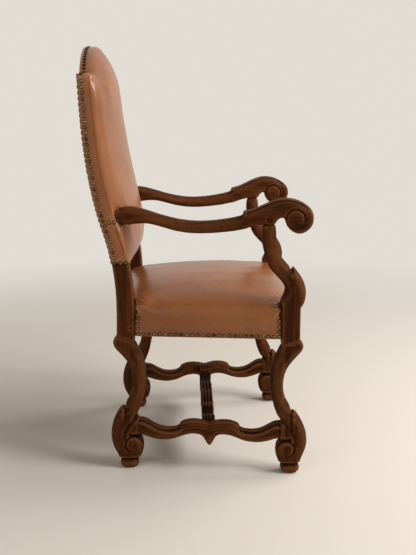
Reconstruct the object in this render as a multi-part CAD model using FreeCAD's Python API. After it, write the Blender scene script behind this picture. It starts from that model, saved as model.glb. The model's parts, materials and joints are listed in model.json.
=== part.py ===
"""Carved walnut armchair with scrolled legs, a high arched back, leather cushions and brass nails.

Millimetres, +Z up. The sitter faces -Y, and their left hand is at +X. Side outlines are drawn in
(forward, height), where forward is -Y, and each left-hand piece is mirrored to make the right-hand one.
"""
import FreeCAD
import Part
import math
import os

Vector = FreeCAD.Vector

# Plan of the four uprights
SEAT_DEPTH = 441.0      # rear post centre to front block centre
FRONT_SPREAD = 568.0    # between the front blocks' centres
REAR_SPREAD = 474.0     # between the rear posts' centres
POST_W = 46.0           # every leg and post, across the chair
POST_EASE = 2.0         # rounding of the rear posts' edges
BLOCK_D = 48.0          # front block and rear post at the seat, front to back

# Heights
LEG_H = 370.0           # floor to the joint above each scrolled leg
SCROLL_H = 183.0        # floor to the top of a leg's lower scroll
BACK_POST_H = 696.0     # joint to the shoulder of the back
BLOCK_H = 98.0          # joint to the top of the front block
SUPPORT_H = 220.0       # front block to the underside of the arm
RAIL_LIFT = 14.0        # joint to the underside of the seat rails
BACK_LIFT = 208.0       # joint to the underside of the padded back
ARCH_RISE = 76.0        # shoulder to the top of the arched crest
ARCH_CHORD = 380.0      # width of the arch at the shoulders

# Scrolled legs
LEDGE_TIP = 34.5        # how far the ledge at a leg's top reaches outwards
LEDGE_DROP = 8.5        # slope of the joint, each way from its middle
VOLUTE_R = 25.0
VOLUTE_Z = 68.5
VOLUTE_IN = 11.5        # volute centre, inwards of the post's centre
VOLUTE_PROUD = 2.0      # the disc stands out of the leg's faces
FRONT_TUCK = 4.5        # front feet stand out from the blocks
REAR_TUCK = -4.5        # rear feet are tucked under the posts
FOOT_HALF = 25.5
FOOT_H = 26.0
BOSS_IN = 19.5          # face that takes the stretcher, inwards of the post's centre
BOSS_BOTTOM = 98.0
BOSS_TOP = 146.0
LEG_EASE = 8.0          # rounding of the shank's and scroll's edges
LEG_TENON_R = 10.0
LEG_TENON_L = 22.0

# Stretchers
STRETCHER_W = 40.0
CROSS_W = 36.0
STRETCHER_EASE = 3.5
STRETCHER_Z = 118.0     # height of the stretchers' middle
STRETCHER_TENON = (10.0, 18.0, 24.0)    # thick, long, high

# Seat frame
RAIL_H = 72.0
RAIL_T = 31.0
RAIL_SET_IN = 4.0       # rail face behind the posts' faces
REAR_RAIL_SET_IN = 8.0  # the same for the rear rail
SIDE_RAIL_UP = 2.0      # the side rails stand higher, by one strap
RAIL_TENON = (12.0, 28.0, 48.0)
TENON_WALL = 1.4        # left between the tenons that meet in one post
GLUE_BLOCK = 55.0

# Arms
ARM_W = 44.0
ARM_DISC_R = 23.0
ARM_EASE = 4.0          # rounding of the arm's shaft
SUPPORT_EASE = 3.0
ARM_TENON = (12.0, 26.0, 20.0)
SUPPORT_TENON_R = 8.0
SUPPORT_TENON_L = 22.0
SUPPORT_SET_BACK = 60.5     # middle of the support's top, behind the block's centre
SUPPORT_SWELL = 3.0         # the support swells this far behind its block
ARM_JOINT_HALF = 16.5
PEG_R = 4.0

# Upholstery
LEATHER_T = 2.0
STRAP_T = 2.0
STRAP_W = 50.0
STRAP_IN = 4.0          # a strap's end stops this far short of the rail's face
HESSIAN_T = 1.0
SEAT_CROWN = 56.0       # crown of the stuffing above the hessian
SEAT_EDGE = 18.0        # stuffing at the middle of the seat's sides
BACK_CROWN = 56.0       # bulge of the stuffing in front of its backing
BACK_EDGE = 7.0         # stuffing at the sides of the back
BACK_RAIL_H = 58.0
CREST_H = 60.0          # crest rail below the shoulder
BACK_TENON = (12.0, 20.0, 34.0)
SOFT_GAP = 0.3          # soft pieces stand this far off their neighbours
FIT = 0.2               # clearance of a tenon in its mortise

# Nails
NAIL_R = 5.2
NAIL_H = 3.2
NAIL_PITCH = 14.4
NAIL_EDGE = 6.5         # nail centre to the leather's edge
NAIL_BACK_EDGE = 10.0   # nail centre to the rear edge of the back
NAIL_STACK = 3          # nails above the bottom row beside each post

# Places that follow from the sizes above
F_FRONT = SEAT_DEPTH / 2
F_REAR = -SEAT_DEPTH / 2
X_FRONT = FRONT_SPREAD / 2
X_REAR = REAR_SPREAD / 2
SPLAY = math.atan((X_FRONT - X_REAR) / SEAT_DEPTH)
RAIL_Z = LEG_H + RAIL_LIFT
RAIL_TOP = RAIL_Z + RAIL_H
BLOCK_TOP = LEG_H + BLOCK_H
ARM_Z = BLOCK_TOP + SUPPORT_H
SHOULDER_Z = LEG_H + BACK_POST_H
BACK_Z = LEG_H + BACK_LIFT
ARCH_TOP = SHOULDER_Z + ARCH_RISE
ARCH_R = ((ARCH_CHORD / 2) ** 2 + ARCH_RISE ** 2) / (2 * ARCH_RISE)
ARCH_CENTRE = ARCH_TOP - ARCH_R
BIG = 3000.0
ARC_TOLERANCE = 0.3     # how near the arcs of an outline keep to its smooth line

# Rear post: rearward set of its back edge, its depth, and the share of the post's height
POST_LINE = (
    (24.0, 48.0, 0.0), (22.5, 47.0, 0.115), (25.0, 46.0, 0.215), (39.0, 44.0, 0.345),
    (72.0, 43.0, 0.515), (94.0, 38.0, 0.69), (104.0, 34.0, 0.85), (109.0, 31.0, 1.0))


def smooth(points, at):
    """Value at a place on a smooth line through (place, value) pairs, carried on straight past its ends."""
    slopes = []
    for i in range(len(points)):
        low = points[max(i - 1, 0)]
        high = points[min(i + 1, len(points) - 1)]
        slopes.append((high[1] - low[1]) / (high[0] - low[0]))
    if at <= points[0][0]:
        return points[0][1] + slopes[0] * (at - points[0][0])
    for i in range(len(points) - 1):
        (a, va), (b, vb) = points[i], points[i + 1]
        if at <= b:
            t = (at - a) / (b - a)
            bend = (1 + 2 * t) * (1 - t) ** 2 * va + t * t * (3 - 2 * t) * vb
            return bend + (b - a) * (t * (1 - t) ** 2 * slopes[i] - t * t * (1 - t) * slopes[i + 1])
    return points[-1][1] + slopes[-1] * (at - points[-1][0])


def post_rear(z):
    """Forward place of the rear post's back edge at a height."""
    share = (z - LEG_H) / BACK_POST_H
    return F_REAR - smooth([(s, rear) for rear, depth, s in POST_LINE], share)


def post_front(z):
    """Forward place of the rear post's front edge at a height."""
    share = (z - LEG_H) / BACK_POST_H
    return post_rear(z) + smooth([(s, depth) for rear, depth, s in POST_LINE], share)


def side_x(forward, out=0.0):
    """Distance from the middle plane to the splayed side line, or to a line beside it."""
    return X_REAR + (forward - F_REAR) * math.tan(SPLAY) + out / math.cos(SPLAY)


def arch_half(grow):
    """Half the width of the arch at the shoulders, for an edge moved outwards."""
    return math.sqrt((ARCH_R + grow) ** 2 - (SHOULDER_Z + grow - ARCH_CENTRE) ** 2)


def arch_z(x, grow=0.0):
    """Height of the back's top edge at a distance from the middle plane."""
    shoulder = SHOULDER_Z + grow
    radius = ARCH_R + grow
    if abs(x) >= radius:
        return shoulder
    return max(shoulder, ARCH_CENTRE + math.sqrt(radius ** 2 - x ** 2))


def box(x0, x1, f0, f1, z0, z1):
    return Part.makeBox(x1 - x0, f1 - f0, z1 - z0, Vector(x0, -f1, z0))


def bar(x, radius, f, z, x0):
    """Round bar across the chair, from x0 to x."""
    return Part.makeCylinder(radius, x - x0, Vector(x0, -f, z), Vector(1, 0, 0))


def edges_through(points, as_arcs):
    """Straight edge between two points, or a smooth line through more, whole or as tangent arcs."""
    if len(points) == 2:
        return [Part.makeLine(points[0], points[1])]
    curve = Part.BSplineCurve()
    curve.interpolate(points)
    if as_arcs:
        return [arc.toShape() for arc in curve.toBiArcs(ARC_TOLERANCE)]
    return [curve.toShape()]


def mid_point(line):
    return line.valueAt((line.FirstParameter + line.LastParameter) / 2)


def slab(runs, x0, x1, ease=0.0, as_arcs=False, eased_runs=None):
    """Solid between two upright planes, from an outline of (forward, height) runs that meet end to end.

    ease rounds off the curved edges of the outline on both faces, or only those of the runs named.
    """
    edges = []
    eased = []
    for number, run in enumerate(runs):
        made = edges_through([Vector(x0, -f, z) for f, z in run], as_arcs)
        edges += made
        if len(run) > 2 and (eased_runs is None or number in eased_runs):
            eased += [mid_point(line) for line in made]
    solid = Part.Face(Part.Wire(edges)).extrude(Vector(x1 - x0, 0, 0))
    if ease == 0:
        return solid
    rims = []
    for line in solid.Edges:
        at = mid_point(line)
        if any(abs(at.y - m.y) + abs(at.z - m.z) < 0.001 for m in eased):
            rims.append(line)
    return solid.makeFillet(ease, rims)


def chain(*runs):
    """Runs joined end to end: each starts where the last one stopped, and a line closes the outline."""
    joined = []
    start = runs[0][0]
    for run in runs:
        joined.append([start] + [p for p in run if p != start])
        start = run[-1]
    if start != runs[0][0]:
        joined.append([start, runs[0][0]])
    return joined


def splayed(shape, x, forward):
    """Turns a piece outwards about an upright axis, as the sides of the chair are."""
    return shape.rotated(Vector(x, -forward, 0), Vector(0, 0, 1), math.degrees(SPLAY))


def mirrored(shape):
    return shape.mirror(Vector(0, 0, 0), Vector(1, 0, 0))


def whole(shape):
    """The one solid of a finished piece."""
    clean = shape.removeSplitter()
    solids = clean.Solids
    if len(solids) != 1:
        raise RuntimeError("a piece came out as %d solids" % len(solids))
    return solids[0]


PIECES = {}


def keep(name, shape):
    PIECES[name] = shape


def keep_pair(name, shape):
    PIECES[name + "_left"] = shape
    PIECES[name + "_right"] = mirrored(shape)


# Scrolled legs: a curved shank above, a hooked scroll with a volute below, and a pad foot.
# Both pairs share one outline in (outward, height); the rear pair faces backwards. The shank's
# heights are shares of the rise from the scroll to the ledge.
SHANK_OUTER = ((31.5, 0.911), (13.5, 0.778), (-2.5, 0.675), (-10.5, 0.593), (-15.0, 0.496), (-17.5, 0.368),
               (-14.5, 0.23), (-4.5, 0.102), (5.5, 0.01))
SHANK_INNER = ((-41.5, 0.042), (-49.0, 0.22), (-53.5, 0.44), (-50.0, 0.655), (-44.5, 0.786), (-34.5, 0.896))
SCROLL_OUTER = ((33.5, 150.0), (44.5, 125.0), (49.5, 93.0), (47.5, 64.0), (38.5, 41.0))
NOTCH_ROOT = (4.0, 167.0)
NOTCH_TIP = (12.0, 181.0)


def scrolled_leg(x, place, tuck):
    """One leg with its top tenon; place turns an outward distance into a forward one."""
    def shank(points, top):
        return [(o, SCROLL_H + share * (top - SCROLL_H)) for o, share in points]

    ledge_in = LEG_H - LEDGE_DROP
    ledge_out = LEG_H - LEDGE_DROP / 2
    foot_out = FOOT_HALF + tuck
    foot_in = -FOOT_HALF + tuck
    boss = tuck - BOSS_IN
    volute = tuck - VOLUTE_IN
    half = BLOCK_D / 2
    runs = [
        [(-half, ledge_in)],
        [(half, LEG_H + LEDGE_DROP)],
        [(LEDGE_TIP, ledge_out)],
        shank(SHANK_OUTER, ledge_out),
        [NOTCH_ROOT],
        [NOTCH_TIP],
        list(SCROLL_OUTER) + [(foot_out - 1, FOOT_H)],
        [(foot_out, 3.0)],
        [(foot_out - 3, 0.0)],
        [(foot_in + 3, 0.0)],
        [(foot_in, 3.0)],
        [(foot_in + 1, FOOT_H)],
        [(volute - 26, 46.0), (volute - 28.5, 70.0), (volute - 22, 90.0), (boss, BOSS_BOTTOM)],
        [(boss, BOSS_TOP)],
        [(-32.0, 166.0)] + shank(SHANK_INNER, ledge_in) + [(-half, ledge_in)]]
    outline = [[(place(o), z) for o, z in run] for run in chain(*runs)[1:]]
    half_w = POST_W / 2
    leg = slab(outline, x - half_w, x + half_w, LEG_EASE, as_arcs=True)
    proud = half_w + VOLUTE_PROUD
    leg = leg.fuse(bar(x + proud, VOLUTE_R, place(volute), VOLUTE_Z, x - proud))
    root = Vector(x, -place(0), LEG_H - 2 * LEDGE_DROP)
    tenon = Part.makeCylinder(LEG_TENON_R, LEG_TENON_L + 2 * LEDGE_DROP, root)
    return leg.fuse(tenon)


def leg_mortise(x, place):
    return Part.makeCylinder(LEG_TENON_R + FIT, LEG_TENON_L + FIT + 2 * LEDGE_DROP,
                             Vector(x, -place(0), LEG_H - 2 * LEDGE_DROP))


def front_place(outward):
    return F_FRONT + outward


def rear_place(outward):
    return F_REAR - outward


front_leg = scrolled_leg(X_FRONT, front_place, FRONT_TUCK)
rear_leg = scrolled_leg(X_REAR, rear_place, REAR_TUCK)
FRONT_BOSS = front_place(FRONT_TUCK - BOSS_IN)
REAR_BOSS = rear_place(REAR_TUCK - BOSS_IN)

# Front post: the seat block and, above it, the curved support that carries the arm
SUPPORT_REAR = ((-25.0, 0.11), (-16.5, 0.2), (-35.0, 0.355), (-58.0, 0.475), (-72.0, 0.65), (-80.0, 0.81))
SUPPORT_FRONT = ((-43.0, 0.895), (-41.0, 0.805), (-33.0, 0.655), (-19.0, 0.555), (-5.0, 0.49))
SUPPORT_NOTCH = ((-3.0, 0.42), (4.0, 0.5))
SUPPORT_BULGE = ((20.0, 0.4), (31.0, 0.318), (37.5, 0.22), (36.5, 0.1))


def front_post_solid():
    def rise(points):
        return [(front_place(o), BLOCK_TOP + share * SUPPORT_H) for o, share in points]

    half = BLOCK_D / 2
    joint = F_FRONT - SUPPORT_SET_BACK
    runs = [
        [(front_place(-half), LEG_H - LEDGE_DROP)],
        [(front_place(-half), BLOCK_TOP)],
        rise(SUPPORT_REAR) + [(joint - ARM_JOINT_HALF, ARM_Z)],
        [(joint + ARM_JOINT_HALF, ARM_Z)],
        rise(SUPPORT_FRONT),
        rise(SUPPORT_NOTCH)[:1],
        rise(SUPPORT_NOTCH)[1:],
        rise(SUPPORT_BULGE) + [(front_place(half), BLOCK_TOP)],
        [(front_place(half), LEG_H + LEDGE_DROP)]]
    post = slab(chain(*runs)[1:], X_FRONT - POST_W / 2, X_FRONT + POST_W / 2, SUPPORT_EASE)
    tenon = Part.makeCylinder(SUPPORT_TENON_R, SUPPORT_TENON_L + 10, Vector(X_FRONT, -joint, ARM_Z - 10))
    return post.fuse(tenon).cut(leg_mortise(X_FRONT, front_place))


front_post = front_post_solid()

# Rear post: stands on the rear leg's joint and sweeps back to the shoulder
POST_HEIGHTS = [LEG_H + BACK_POST_H * share for rear, depth, share in POST_LINE[1:]]
rear_line = [(rear_place(BLOCK_D / 2), LEG_H + LEDGE_DROP)] + [(post_rear(z), z) for z in POST_HEIGHTS]
front_line = [(post_front(z), z) for z in reversed(POST_HEIGHTS)]
front_line.append((rear_place(-BLOCK_D / 2), LEG_H - LEDGE_DROP))
rear_post = slab([rear_line, [rear_line[-1], front_line[0]], front_line, [front_line[-1], rear_line[0]]],
                 X_REAR - POST_W / 2, X_REAR + POST_W / 2, POST_EASE)
rear_post = rear_post.cut(leg_mortise(X_REAR, rear_place))


def tenon_box(size, x, x_way, f, f_way, z, grow=0.0, root=5.0):
    """Tenon with its root inside the rail; grow makes the mortise that takes it. One of the ways is 0."""
    thick, long, high = size
    half = thick / 2 + grow
    reach = long + grow
    if x_way:
        ends = sorted((x - x_way * root, x + x_way * reach))
        return box(ends[0], ends[1], f - half, f + half, z - high / 2 - grow, z + high / 2 + grow)
    ends = sorted((f - f_way * root, f + f_way * reach))
    return box(x - half, x + half, ends[0], ends[1], z - high / 2 - grow, z + high / 2 + grow)


# Side stretchers: a wavy rail with two carved humps and a small pendant, tenoned into the legs
WAVE_TOP = ((0.052, 25.0), (0.1, 15.0), (0.157, 3.0), (0.211, -1.0), (0.264, 1.0), (0.294, 6.0))
WAVE_HUMP = ((0.35, 22.5), (0.41, 24.5), (0.46, 21.5), (0.5, 17.0))
WAVE_BOTTOM = ((0.05, -22.0), (0.1, -29.0), (0.204, -34.0), (0.264, -30.0), (0.35, -17.0), (0.41, -14.5),
               (0.455, -20.0), (0.48, -33.0), (0.5, -41.0))
WAVE_END_TOP = 22.0
WAVE_END_BOTTOM = -18.0
HUMP_LIP = 7.0          # step where a hump's carved lip starts


def wavy_runs(start, length):
    """Closed outline of a stretcher along a line, as runs in (along, height)."""
    def along(points, flip):
        placed = [(start + length * (1 - s if flip else s), STRETCHER_Z + dz) for s, dz in points]
        return list(reversed(placed)) if flip else placed

    lip = (WAVE_TOP[-1][0] + 0.004, WAVE_TOP[-1][1] + HUMP_LIP)
    runs = [
        [(start, STRETCHER_Z + WAVE_END_TOP)],
        along(WAVE_TOP, False),
        along([lip], False),
        along(WAVE_HUMP, False),
        along(WAVE_HUMP[:-1], True) + along([lip], True),
        along(WAVE_TOP[-1:], True),
        along(WAVE_TOP[:-1], True) + [(start + length, STRETCHER_Z + WAVE_END_TOP)],
        [(start + length, STRETCHER_Z + WAVE_END_BOTTOM)],
        list(reversed(along(WAVE_BOTTOM, True))),
        list(reversed(along(WAVE_BOTTOM[:-1], False))) + [(start, STRETCHER_Z + WAVE_END_BOTTOM)]]
    return chain(*runs)[1:]


def between(shape, f0, f1):
    """The part of a piece between two planes square to the chair's middle plane."""
    return shape.common(box(-BIG, BIG, f0, f1, -BIG, BIG))


span = (FRONT_BOSS - REAR_BOSS) / math.cos(SPLAY)
stretcher_x = side_x(REAR_BOSS)
stretcher_in = stretcher_x - STRETCHER_W / 2
stretcher_out = stretcher_x + STRETCHER_W / 2
side_stretcher = slab(wavy_runs(REAR_BOSS, span), stretcher_in, stretcher_out, STRETCHER_EASE)
for end, way in ((REAR_BOSS, -1), (REAR_BOSS + span, 1)):
    stub = sorted((end, end + way * STRETCHER_W))
    side_stretcher = side_stretcher.fuse(box(
        stretcher_in, stretcher_out, stub[0], stub[1],
        STRETCHER_Z + WAVE_END_BOTTOM, STRETCHER_Z + WAVE_END_TOP))
side_stretcher = between(splayed(side_stretcher, stretcher_x, REAR_BOSS), REAR_BOSS, FRONT_BOSS)
for end, way in ((REAR_BOSS, -1), (FRONT_BOSS, 1)):
    place = (side_x(end), 0, end, way, STRETCHER_Z)
    side_stretcher = side_stretcher.fuse(tenon_box(STRETCHER_TENON, *place))
    if way < 0:
        rear_leg = rear_leg.cut(tenon_box(STRETCHER_TENON, *place, grow=FIT))
    else:
        front_leg = front_leg.cut(tenon_box(STRETCHER_TENON, *place, grow=FIT))

# Cross stretcher: the same wave, from one side stretcher to the other at their pendants
CROSS_F = (FRONT_BOSS + REAR_BOSS) / 2
cross_x = side_x(CROSS_F, -STRETCHER_W / 2)
cross_end = cross_x + CROSS_W * math.tan(SPLAY)
cross = slab(wavy_runs(-cross_end, 2 * cross_end), -CROSS_W / 2, CROSS_W / 2, STRETCHER_EASE)
cross = cross.rotated(Vector(0, 0, 0), Vector(0, 0, 1), 90).translated(Vector(0, -CROSS_F, 0))
outside = splayed(box(stretcher_in, BIG, -BIG, BIG, -BIG, BIG), stretcher_x, REAR_BOSS)
cross = cross.cut(outside).cut(mirrored(outside))
for way in (1, -1):
    cross = cross.fuse(tenon_box(STRETCHER_TENON, way * cross_x, way, CROSS_F, 0, STRETCHER_Z, root=10.0))
cross_mortise = tenon_box(STRETCHER_TENON, cross_x, 1, CROSS_F, 0, STRETCHER_Z, grow=FIT, root=10.0)
side_stretcher = side_stretcher.cut(cross_mortise)
keep_pair("side_stretcher", whole(side_stretcher))
keep("cross_stretcher", whole(cross))

# Seat rails, tenoned into the posts, with glued blocks in the corners
POST_FACE_FRONT = F_FRONT - BLOCK_D / 2
POST_FACE_REAR = post_front(RAIL_Z + RAIL_H / 2)
RAIL_OUT = POST_W / 2 - RAIL_SET_IN
RAIL_MID = RAIL_Z + RAIL_H / 2
side_rail = box(X_REAR + RAIL_OUT - RAIL_T, X_REAR + RAIL_OUT, F_REAR - 2 * BLOCK_D, F_FRONT + 2 * BLOCK_D,
                RAIL_Z, RAIL_TOP + SIDE_RAIL_UP)
side_rail = between(splayed(side_rail, X_REAR, F_REAR), POST_FACE_REAR - BLOCK_D, POST_FACE_FRONT)
side_rail = max(side_rail.cut(rear_post).cut(front_post).Solids, key=lambda s: s.Volume)
for end, way in ((POST_FACE_REAR, -1), (POST_FACE_FRONT, 1)):
    place = (side_x(end), 0, end, way, RAIL_MID)
    side_rail = side_rail.fuse(tenon_box(RAIL_TENON, *place))
    if way < 0:
        rear_post = rear_post.cut(tenon_box(RAIL_TENON, *place, grow=FIT))
    else:
        front_post = front_post.cut(tenon_box(RAIL_TENON, *place, grow=FIT))

FRONT_RAIL_F = F_FRONT + BLOCK_D / 2 - RAIL_SET_IN
REAR_RAIL_F = rear_place(BLOCK_D / 2 - REAR_RAIL_SET_IN)
FRONT_TENON_F = FRONT_RAIL_F - RAIL_T / 2
REAR_TENON_F = REAR_RAIL_F + RAIL_T / 2
front_face = X_FRONT - POST_W / 2
rear_face = X_REAR - POST_W / 2


def short_tenon(post_face, end):
    """Tenon of a front or rear rail, stopped short of the side rail's one in the same post."""
    side_tenon = side_x(end) - RAIL_TENON[0] / 2
    return (RAIL_TENON[0], side_tenon - TENON_WALL - post_face, RAIL_TENON[2])


front_tenon = short_tenon(front_face, POST_FACE_FRONT)
rear_tenon = short_tenon(rear_face, POST_FACE_REAR)
front_rail = box(-front_face, front_face, FRONT_RAIL_F - RAIL_T, FRONT_RAIL_F, RAIL_Z, RAIL_TOP)
rear_rail = box(-rear_face, rear_face, REAR_RAIL_F, REAR_RAIL_F + RAIL_T, RAIL_Z, RAIL_TOP)
for way in (1, -1):
    front_rail = front_rail.fuse(tenon_box(front_tenon, way * front_face, way, FRONT_TENON_F, 0, RAIL_MID))
    rear_rail = rear_rail.fuse(tenon_box(rear_tenon, way * rear_face, way, REAR_TENON_F, 0, RAIL_MID))
front_post = front_post.cut(tenon_box(front_tenon, front_face, 1, FRONT_TENON_F, 0, RAIL_MID, grow=FIT))
rear_post = rear_post.cut(tenon_box(rear_tenon, rear_face, 1, REAR_TENON_F, 0, RAIL_MID, grow=FIT))

RAIL_IN = RAIL_OUT - RAIL_T


def glue_block(corner_f, rail_f, way, post_x):
    """Five-sided block that fits round a post's inner corner, between a side rail and a cross rail."""
    plan = [(side_x(corner_f, RAIL_IN), corner_f),
            (side_x(corner_f - way * GLUE_BLOCK, RAIL_IN), corner_f - way * GLUE_BLOCK),
            (post_x - GLUE_BLOCK, rail_f),
            (post_x, rail_f),
            (post_x, corner_f)]
    corners = [Vector(x, -f, RAIL_Z + 10) for x, f in plan]
    return Part.Face(Part.makePolygon(corners + corners[:1])).extrude(Vector(0, 0, RAIL_H - 20))


blocks = [glue_block(POST_FACE_FRONT, FRONT_RAIL_F - RAIL_T, 1, front_face),
          glue_block(post_front(RAIL_TOP), REAR_RAIL_F + RAIL_T, -1, rear_face)]
blocks[1] = blocks[1].cut(rear_post)
keep("corner_blocks", Part.makeCompound(blocks + [mirrored(b) for b in blocks]))
keep("front_seat_rail", whole(front_rail))
keep("rear_seat_rail", whole(rear_rail))

# Back frame: a lower rail and an arched crest rail between the posts, flush with them


def back_rail_runs(z0, z1):
    heights = [z0, (z0 + z1) / 2, z1]
    rear = [(post_rear(z), z) for z in heights]
    front = [(post_front(z), z) for z in reversed(heights)]
    return [rear, [rear[-1], front[0]], front, [front[-1], rear[0]]]


def arch_prism(grow, z0, half):
    """Everything under the back's top edge, as seen from the front, down to a level."""
    shoulder = SHOULDER_Z + grow
    chord = arch_half(grow)
    corners = [Vector(chord, BIG, shoulder), Vector(half, BIG, shoulder), Vector(half, BIG, z0),
               Vector(-half, BIG, z0), Vector(-half, BIG, shoulder), Vector(-chord, BIG, shoulder)]
    arc = Part.Arc(corners[-1], Vector(0, BIG, ARCH_TOP + grow), corners[0]).toShape()
    sides = [Part.makeLine(a, b) for a, b in zip(corners, corners[1:])]
    return Part.Face(Part.Wire(sides + [arc])).extrude(Vector(0, -2 * BIG, 0))


crest = slab(back_rail_runs(SHOULDER_Z - CREST_H, ARCH_TOP + 5), -rear_face, rear_face)
crest = crest.common(arch_prism(0.0, 0.0, BIG))
lower = slab(back_rail_runs(BACK_Z, BACK_Z + BACK_RAIL_H), -rear_face, rear_face)
for level in (SHOULDER_Z - CREST_H / 2, BACK_Z + BACK_RAIL_H / 2):
    middle = (post_front(level) + post_rear(level)) / 2
    rear_post = rear_post.cut(tenon_box(BACK_TENON, rear_face, 1, middle, 0, level, grow=FIT))
    for way in (1, -1):
        tenon = tenon_box(BACK_TENON, way * rear_face, way, middle, 0, level)
        if level > BACK_Z + BACK_RAIL_H:
            crest = crest.fuse(tenon)
        else:
            lower = lower.fuse(tenon)
keep("crest_rail", whole(crest))
keep("lower_back_rail", whole(lower))

# Arms: a long curved arm with a scrolled hand, from the rear post to the top of its support
ARM_TOP = ((0.02, 34.0), (0.06, 41.0), (0.145, 40.0), (0.306, 22.0), (0.497, 7.0), (0.689, 9.0),
           (0.865, 22.0))
ARM_UNDER = ((0.956, -3.0), (0.881, -12.0), (0.692, -24.0), (0.521, -26.0), (0.358, -15.0), (0.215, -2.0),
             (0.148, -3.0), (0.08, -7.0))
HAND_TOP = ((-102.0, 39.0), (-73.0, 52.0), (-44.0, 64.0), (-16.0, 68.0), (13.0, 62.0), (35.0, 50.0),
            (50.0, 34.0), (54.0, 17.0), (49.0, -3.0), (33.0, -18.0), (19.0, -23.0), (1.0, -18.0),
            (-14.0, -4.0), (-20.0, 14.0))
HAND_UNDER = ((-28.0, 19.0), (-36.0, 15.0), (-42.0, 9.0))
HAND_TIP = (-128.0, 33.0)       # where the carved hand starts, as a lip on the arm
HAND_DISC = (5.0, 16.0)
SHAFT_RUNS = (1, 6)             # the top and underside of the shaft, among the outline's runs


def arm_solid():
    joint_f = F_FRONT - SUPPORT_SET_BACK
    joint_z = ARM_Z + 16.0
    root_f = post_front(joint_z)
    swing = math.atan((X_FRONT - X_REAR) / (joint_f - root_f))
    stretch = 1 / math.cos(swing)
    far = joint_f - ARM_JOINT_HALF

    def shaft(points):
        return [(root_f + share * (far - root_f), ARM_Z + dz) for share, dz in points]

    def hand(points):
        return [(F_FRONT + df, ARM_Z + dz) for df, dz in points]

    runs = [
        [(root_f - 12.0, ARM_Z + 10.0)],
        [(root_f - 12.0, ARM_Z + 24.0)],
        shaft(ARM_TOP),
        hand([HAND_TIP]),
        hand(HAND_TOP),
        hand(HAND_UNDER) + [(joint_f + ARM_JOINT_HALF, ARM_Z)],
        [(far, ARM_Z)],
        shaft(ARM_UNDER)]
    def along(f):
        """Place along the swung arm: its shaft is stretched to reach the joint, and its hand is not."""
        return root_f + (min(f, joint_f) - root_f) * stretch + max(f - joint_f, 0.0)

    long_runs = [[(along(f), z) for f, z in run] for run in chain(*runs)[1:]]
    arm = slab(long_runs, X_REAR - ARM_W / 2, X_REAR + ARM_W / 2, ARM_EASE, eased_runs=SHAFT_RUNS)
    disc_f = along(F_FRONT + HAND_DISC[0])
    proud = ARM_W / 2 + VOLUTE_PROUD
    arm = arm.fuse(bar(X_REAR + proud, ARM_DISC_R, disc_f, ARM_Z + HAND_DISC[1], X_REAR - proud))
    arm = arm.rotated(Vector(X_REAR, -root_f, 0), Vector(0, 0, 1), math.degrees(swing))
    return arm, root_f, joint_f, joint_z


arm, ARM_ROOT_F, ARM_JOINT_F, ARM_ROOT_Z = arm_solid()
arm = arm.cut(rear_post)
arm = max(arm.Solids, key=lambda s: s.Volume)
arm = arm.fuse(tenon_box(ARM_TENON, X_REAR, 0, ARM_ROOT_F, -1, ARM_ROOT_Z, root=12.0))
rear_post = rear_post.cut(tenon_box(ARM_TENON, X_REAR, 0, ARM_ROOT_F, -1, ARM_ROOT_Z, grow=FIT, root=12.0))
arm = arm.cut(Part.makeCylinder(SUPPORT_TENON_R + FIT, SUPPORT_TENON_L + FIT + 10,
                                Vector(X_FRONT, -ARM_JOINT_F, ARM_Z - 10)))

# Pegs through the joints: one in each rear post at the seat, one in each arm over its support
RAIL_PEG_F = POST_FACE_REAR - 11.0
RAIL_PEG_Z = RAIL_Z + 20.0
ARM_PEG_Z = ARM_Z + 10.0
rail_peg_x = X_REAR + POST_W / 2 + 0.6
arm_peg_x = X_FRONT + ARM_W / 2 + 1.0
rail_peg_in = side_x(POST_FACE_REAR) - RAIL_TENON[0] / 2 - 4.0
arm_peg_in = X_FRONT - SUPPORT_TENON_R - 3.0
pegs = [bar(rail_peg_x, PEG_R, RAIL_PEG_F, RAIL_PEG_Z, rail_peg_in),
        bar(arm_peg_x, PEG_R, ARM_JOINT_F, ARM_PEG_Z, arm_peg_in)]
rail_hole = bar(BIG, PEG_R + FIT / 2, RAIL_PEG_F, RAIL_PEG_Z, rail_peg_in - FIT)
arm_hole = bar(BIG, PEG_R + FIT / 2, ARM_JOINT_F, ARM_PEG_Z, arm_peg_in - FIT)
rear_post = rear_post.cut(rail_hole)
side_rail = side_rail.cut(rail_hole)
arm = arm.cut(arm_hole)
front_post = front_post.cut(arm_hole)
keep("joint_pegs", Part.makeCompound(pegs + [mirrored(p) for p in pegs]))
keep_pair("front_leg", whole(front_leg))
keep_pair("rear_leg", whole(rear_leg))
keep_pair("front_post", whole(front_post))
keep_pair("rear_post", whole(rear_post))
keep_pair("armrest", whole(arm))
keep_pair("side_seat_rail", whole(side_rail))

# Seat upholstery: straps, hessian, stuffing with a crown, and the leather that is nailed to the rails
STRAP_Z = RAIL_TOP
HESSIAN_Z = RAIL_TOP + 2 * STRAP_T
PAD_Z = HESSIAN_Z + HESSIAN_T
SEAT_F0 = REAR_RAIL_F
SEAT_F1 = FRONT_RAIL_F


def corners_cut(shape, gap):
    """Takes the four uprights out of a seat layer, with a gap round them."""
    half = POST_W / 2 + gap
    front = box(X_FRONT - half, BIG, POST_FACE_FRONT - gap, BIG, 0, BIG)
    rear = box(X_REAR - half, BIG, -BIG, POST_FACE_REAR + 2.0 + gap, 0, BIG)
    for tool in (front, rear):
        shape = shape.cut(tool).cut(mirrored(tool))
    return shape


def seat_plan(f0, f1, out, z0, z1):
    """Flat layer of the seat's tapered plan."""
    plan = [(side_x(f0, out), f0), (side_x(f1, out), f1), (-side_x(f1, out), f1), (-side_x(f0, out), f0)]
    corners = [Vector(x, -f, z0) for x, f in plan]
    return Part.Face(Part.makePolygon(corners + corners[:1])).extrude(Vector(0, 0, z1 - z0))


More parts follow.
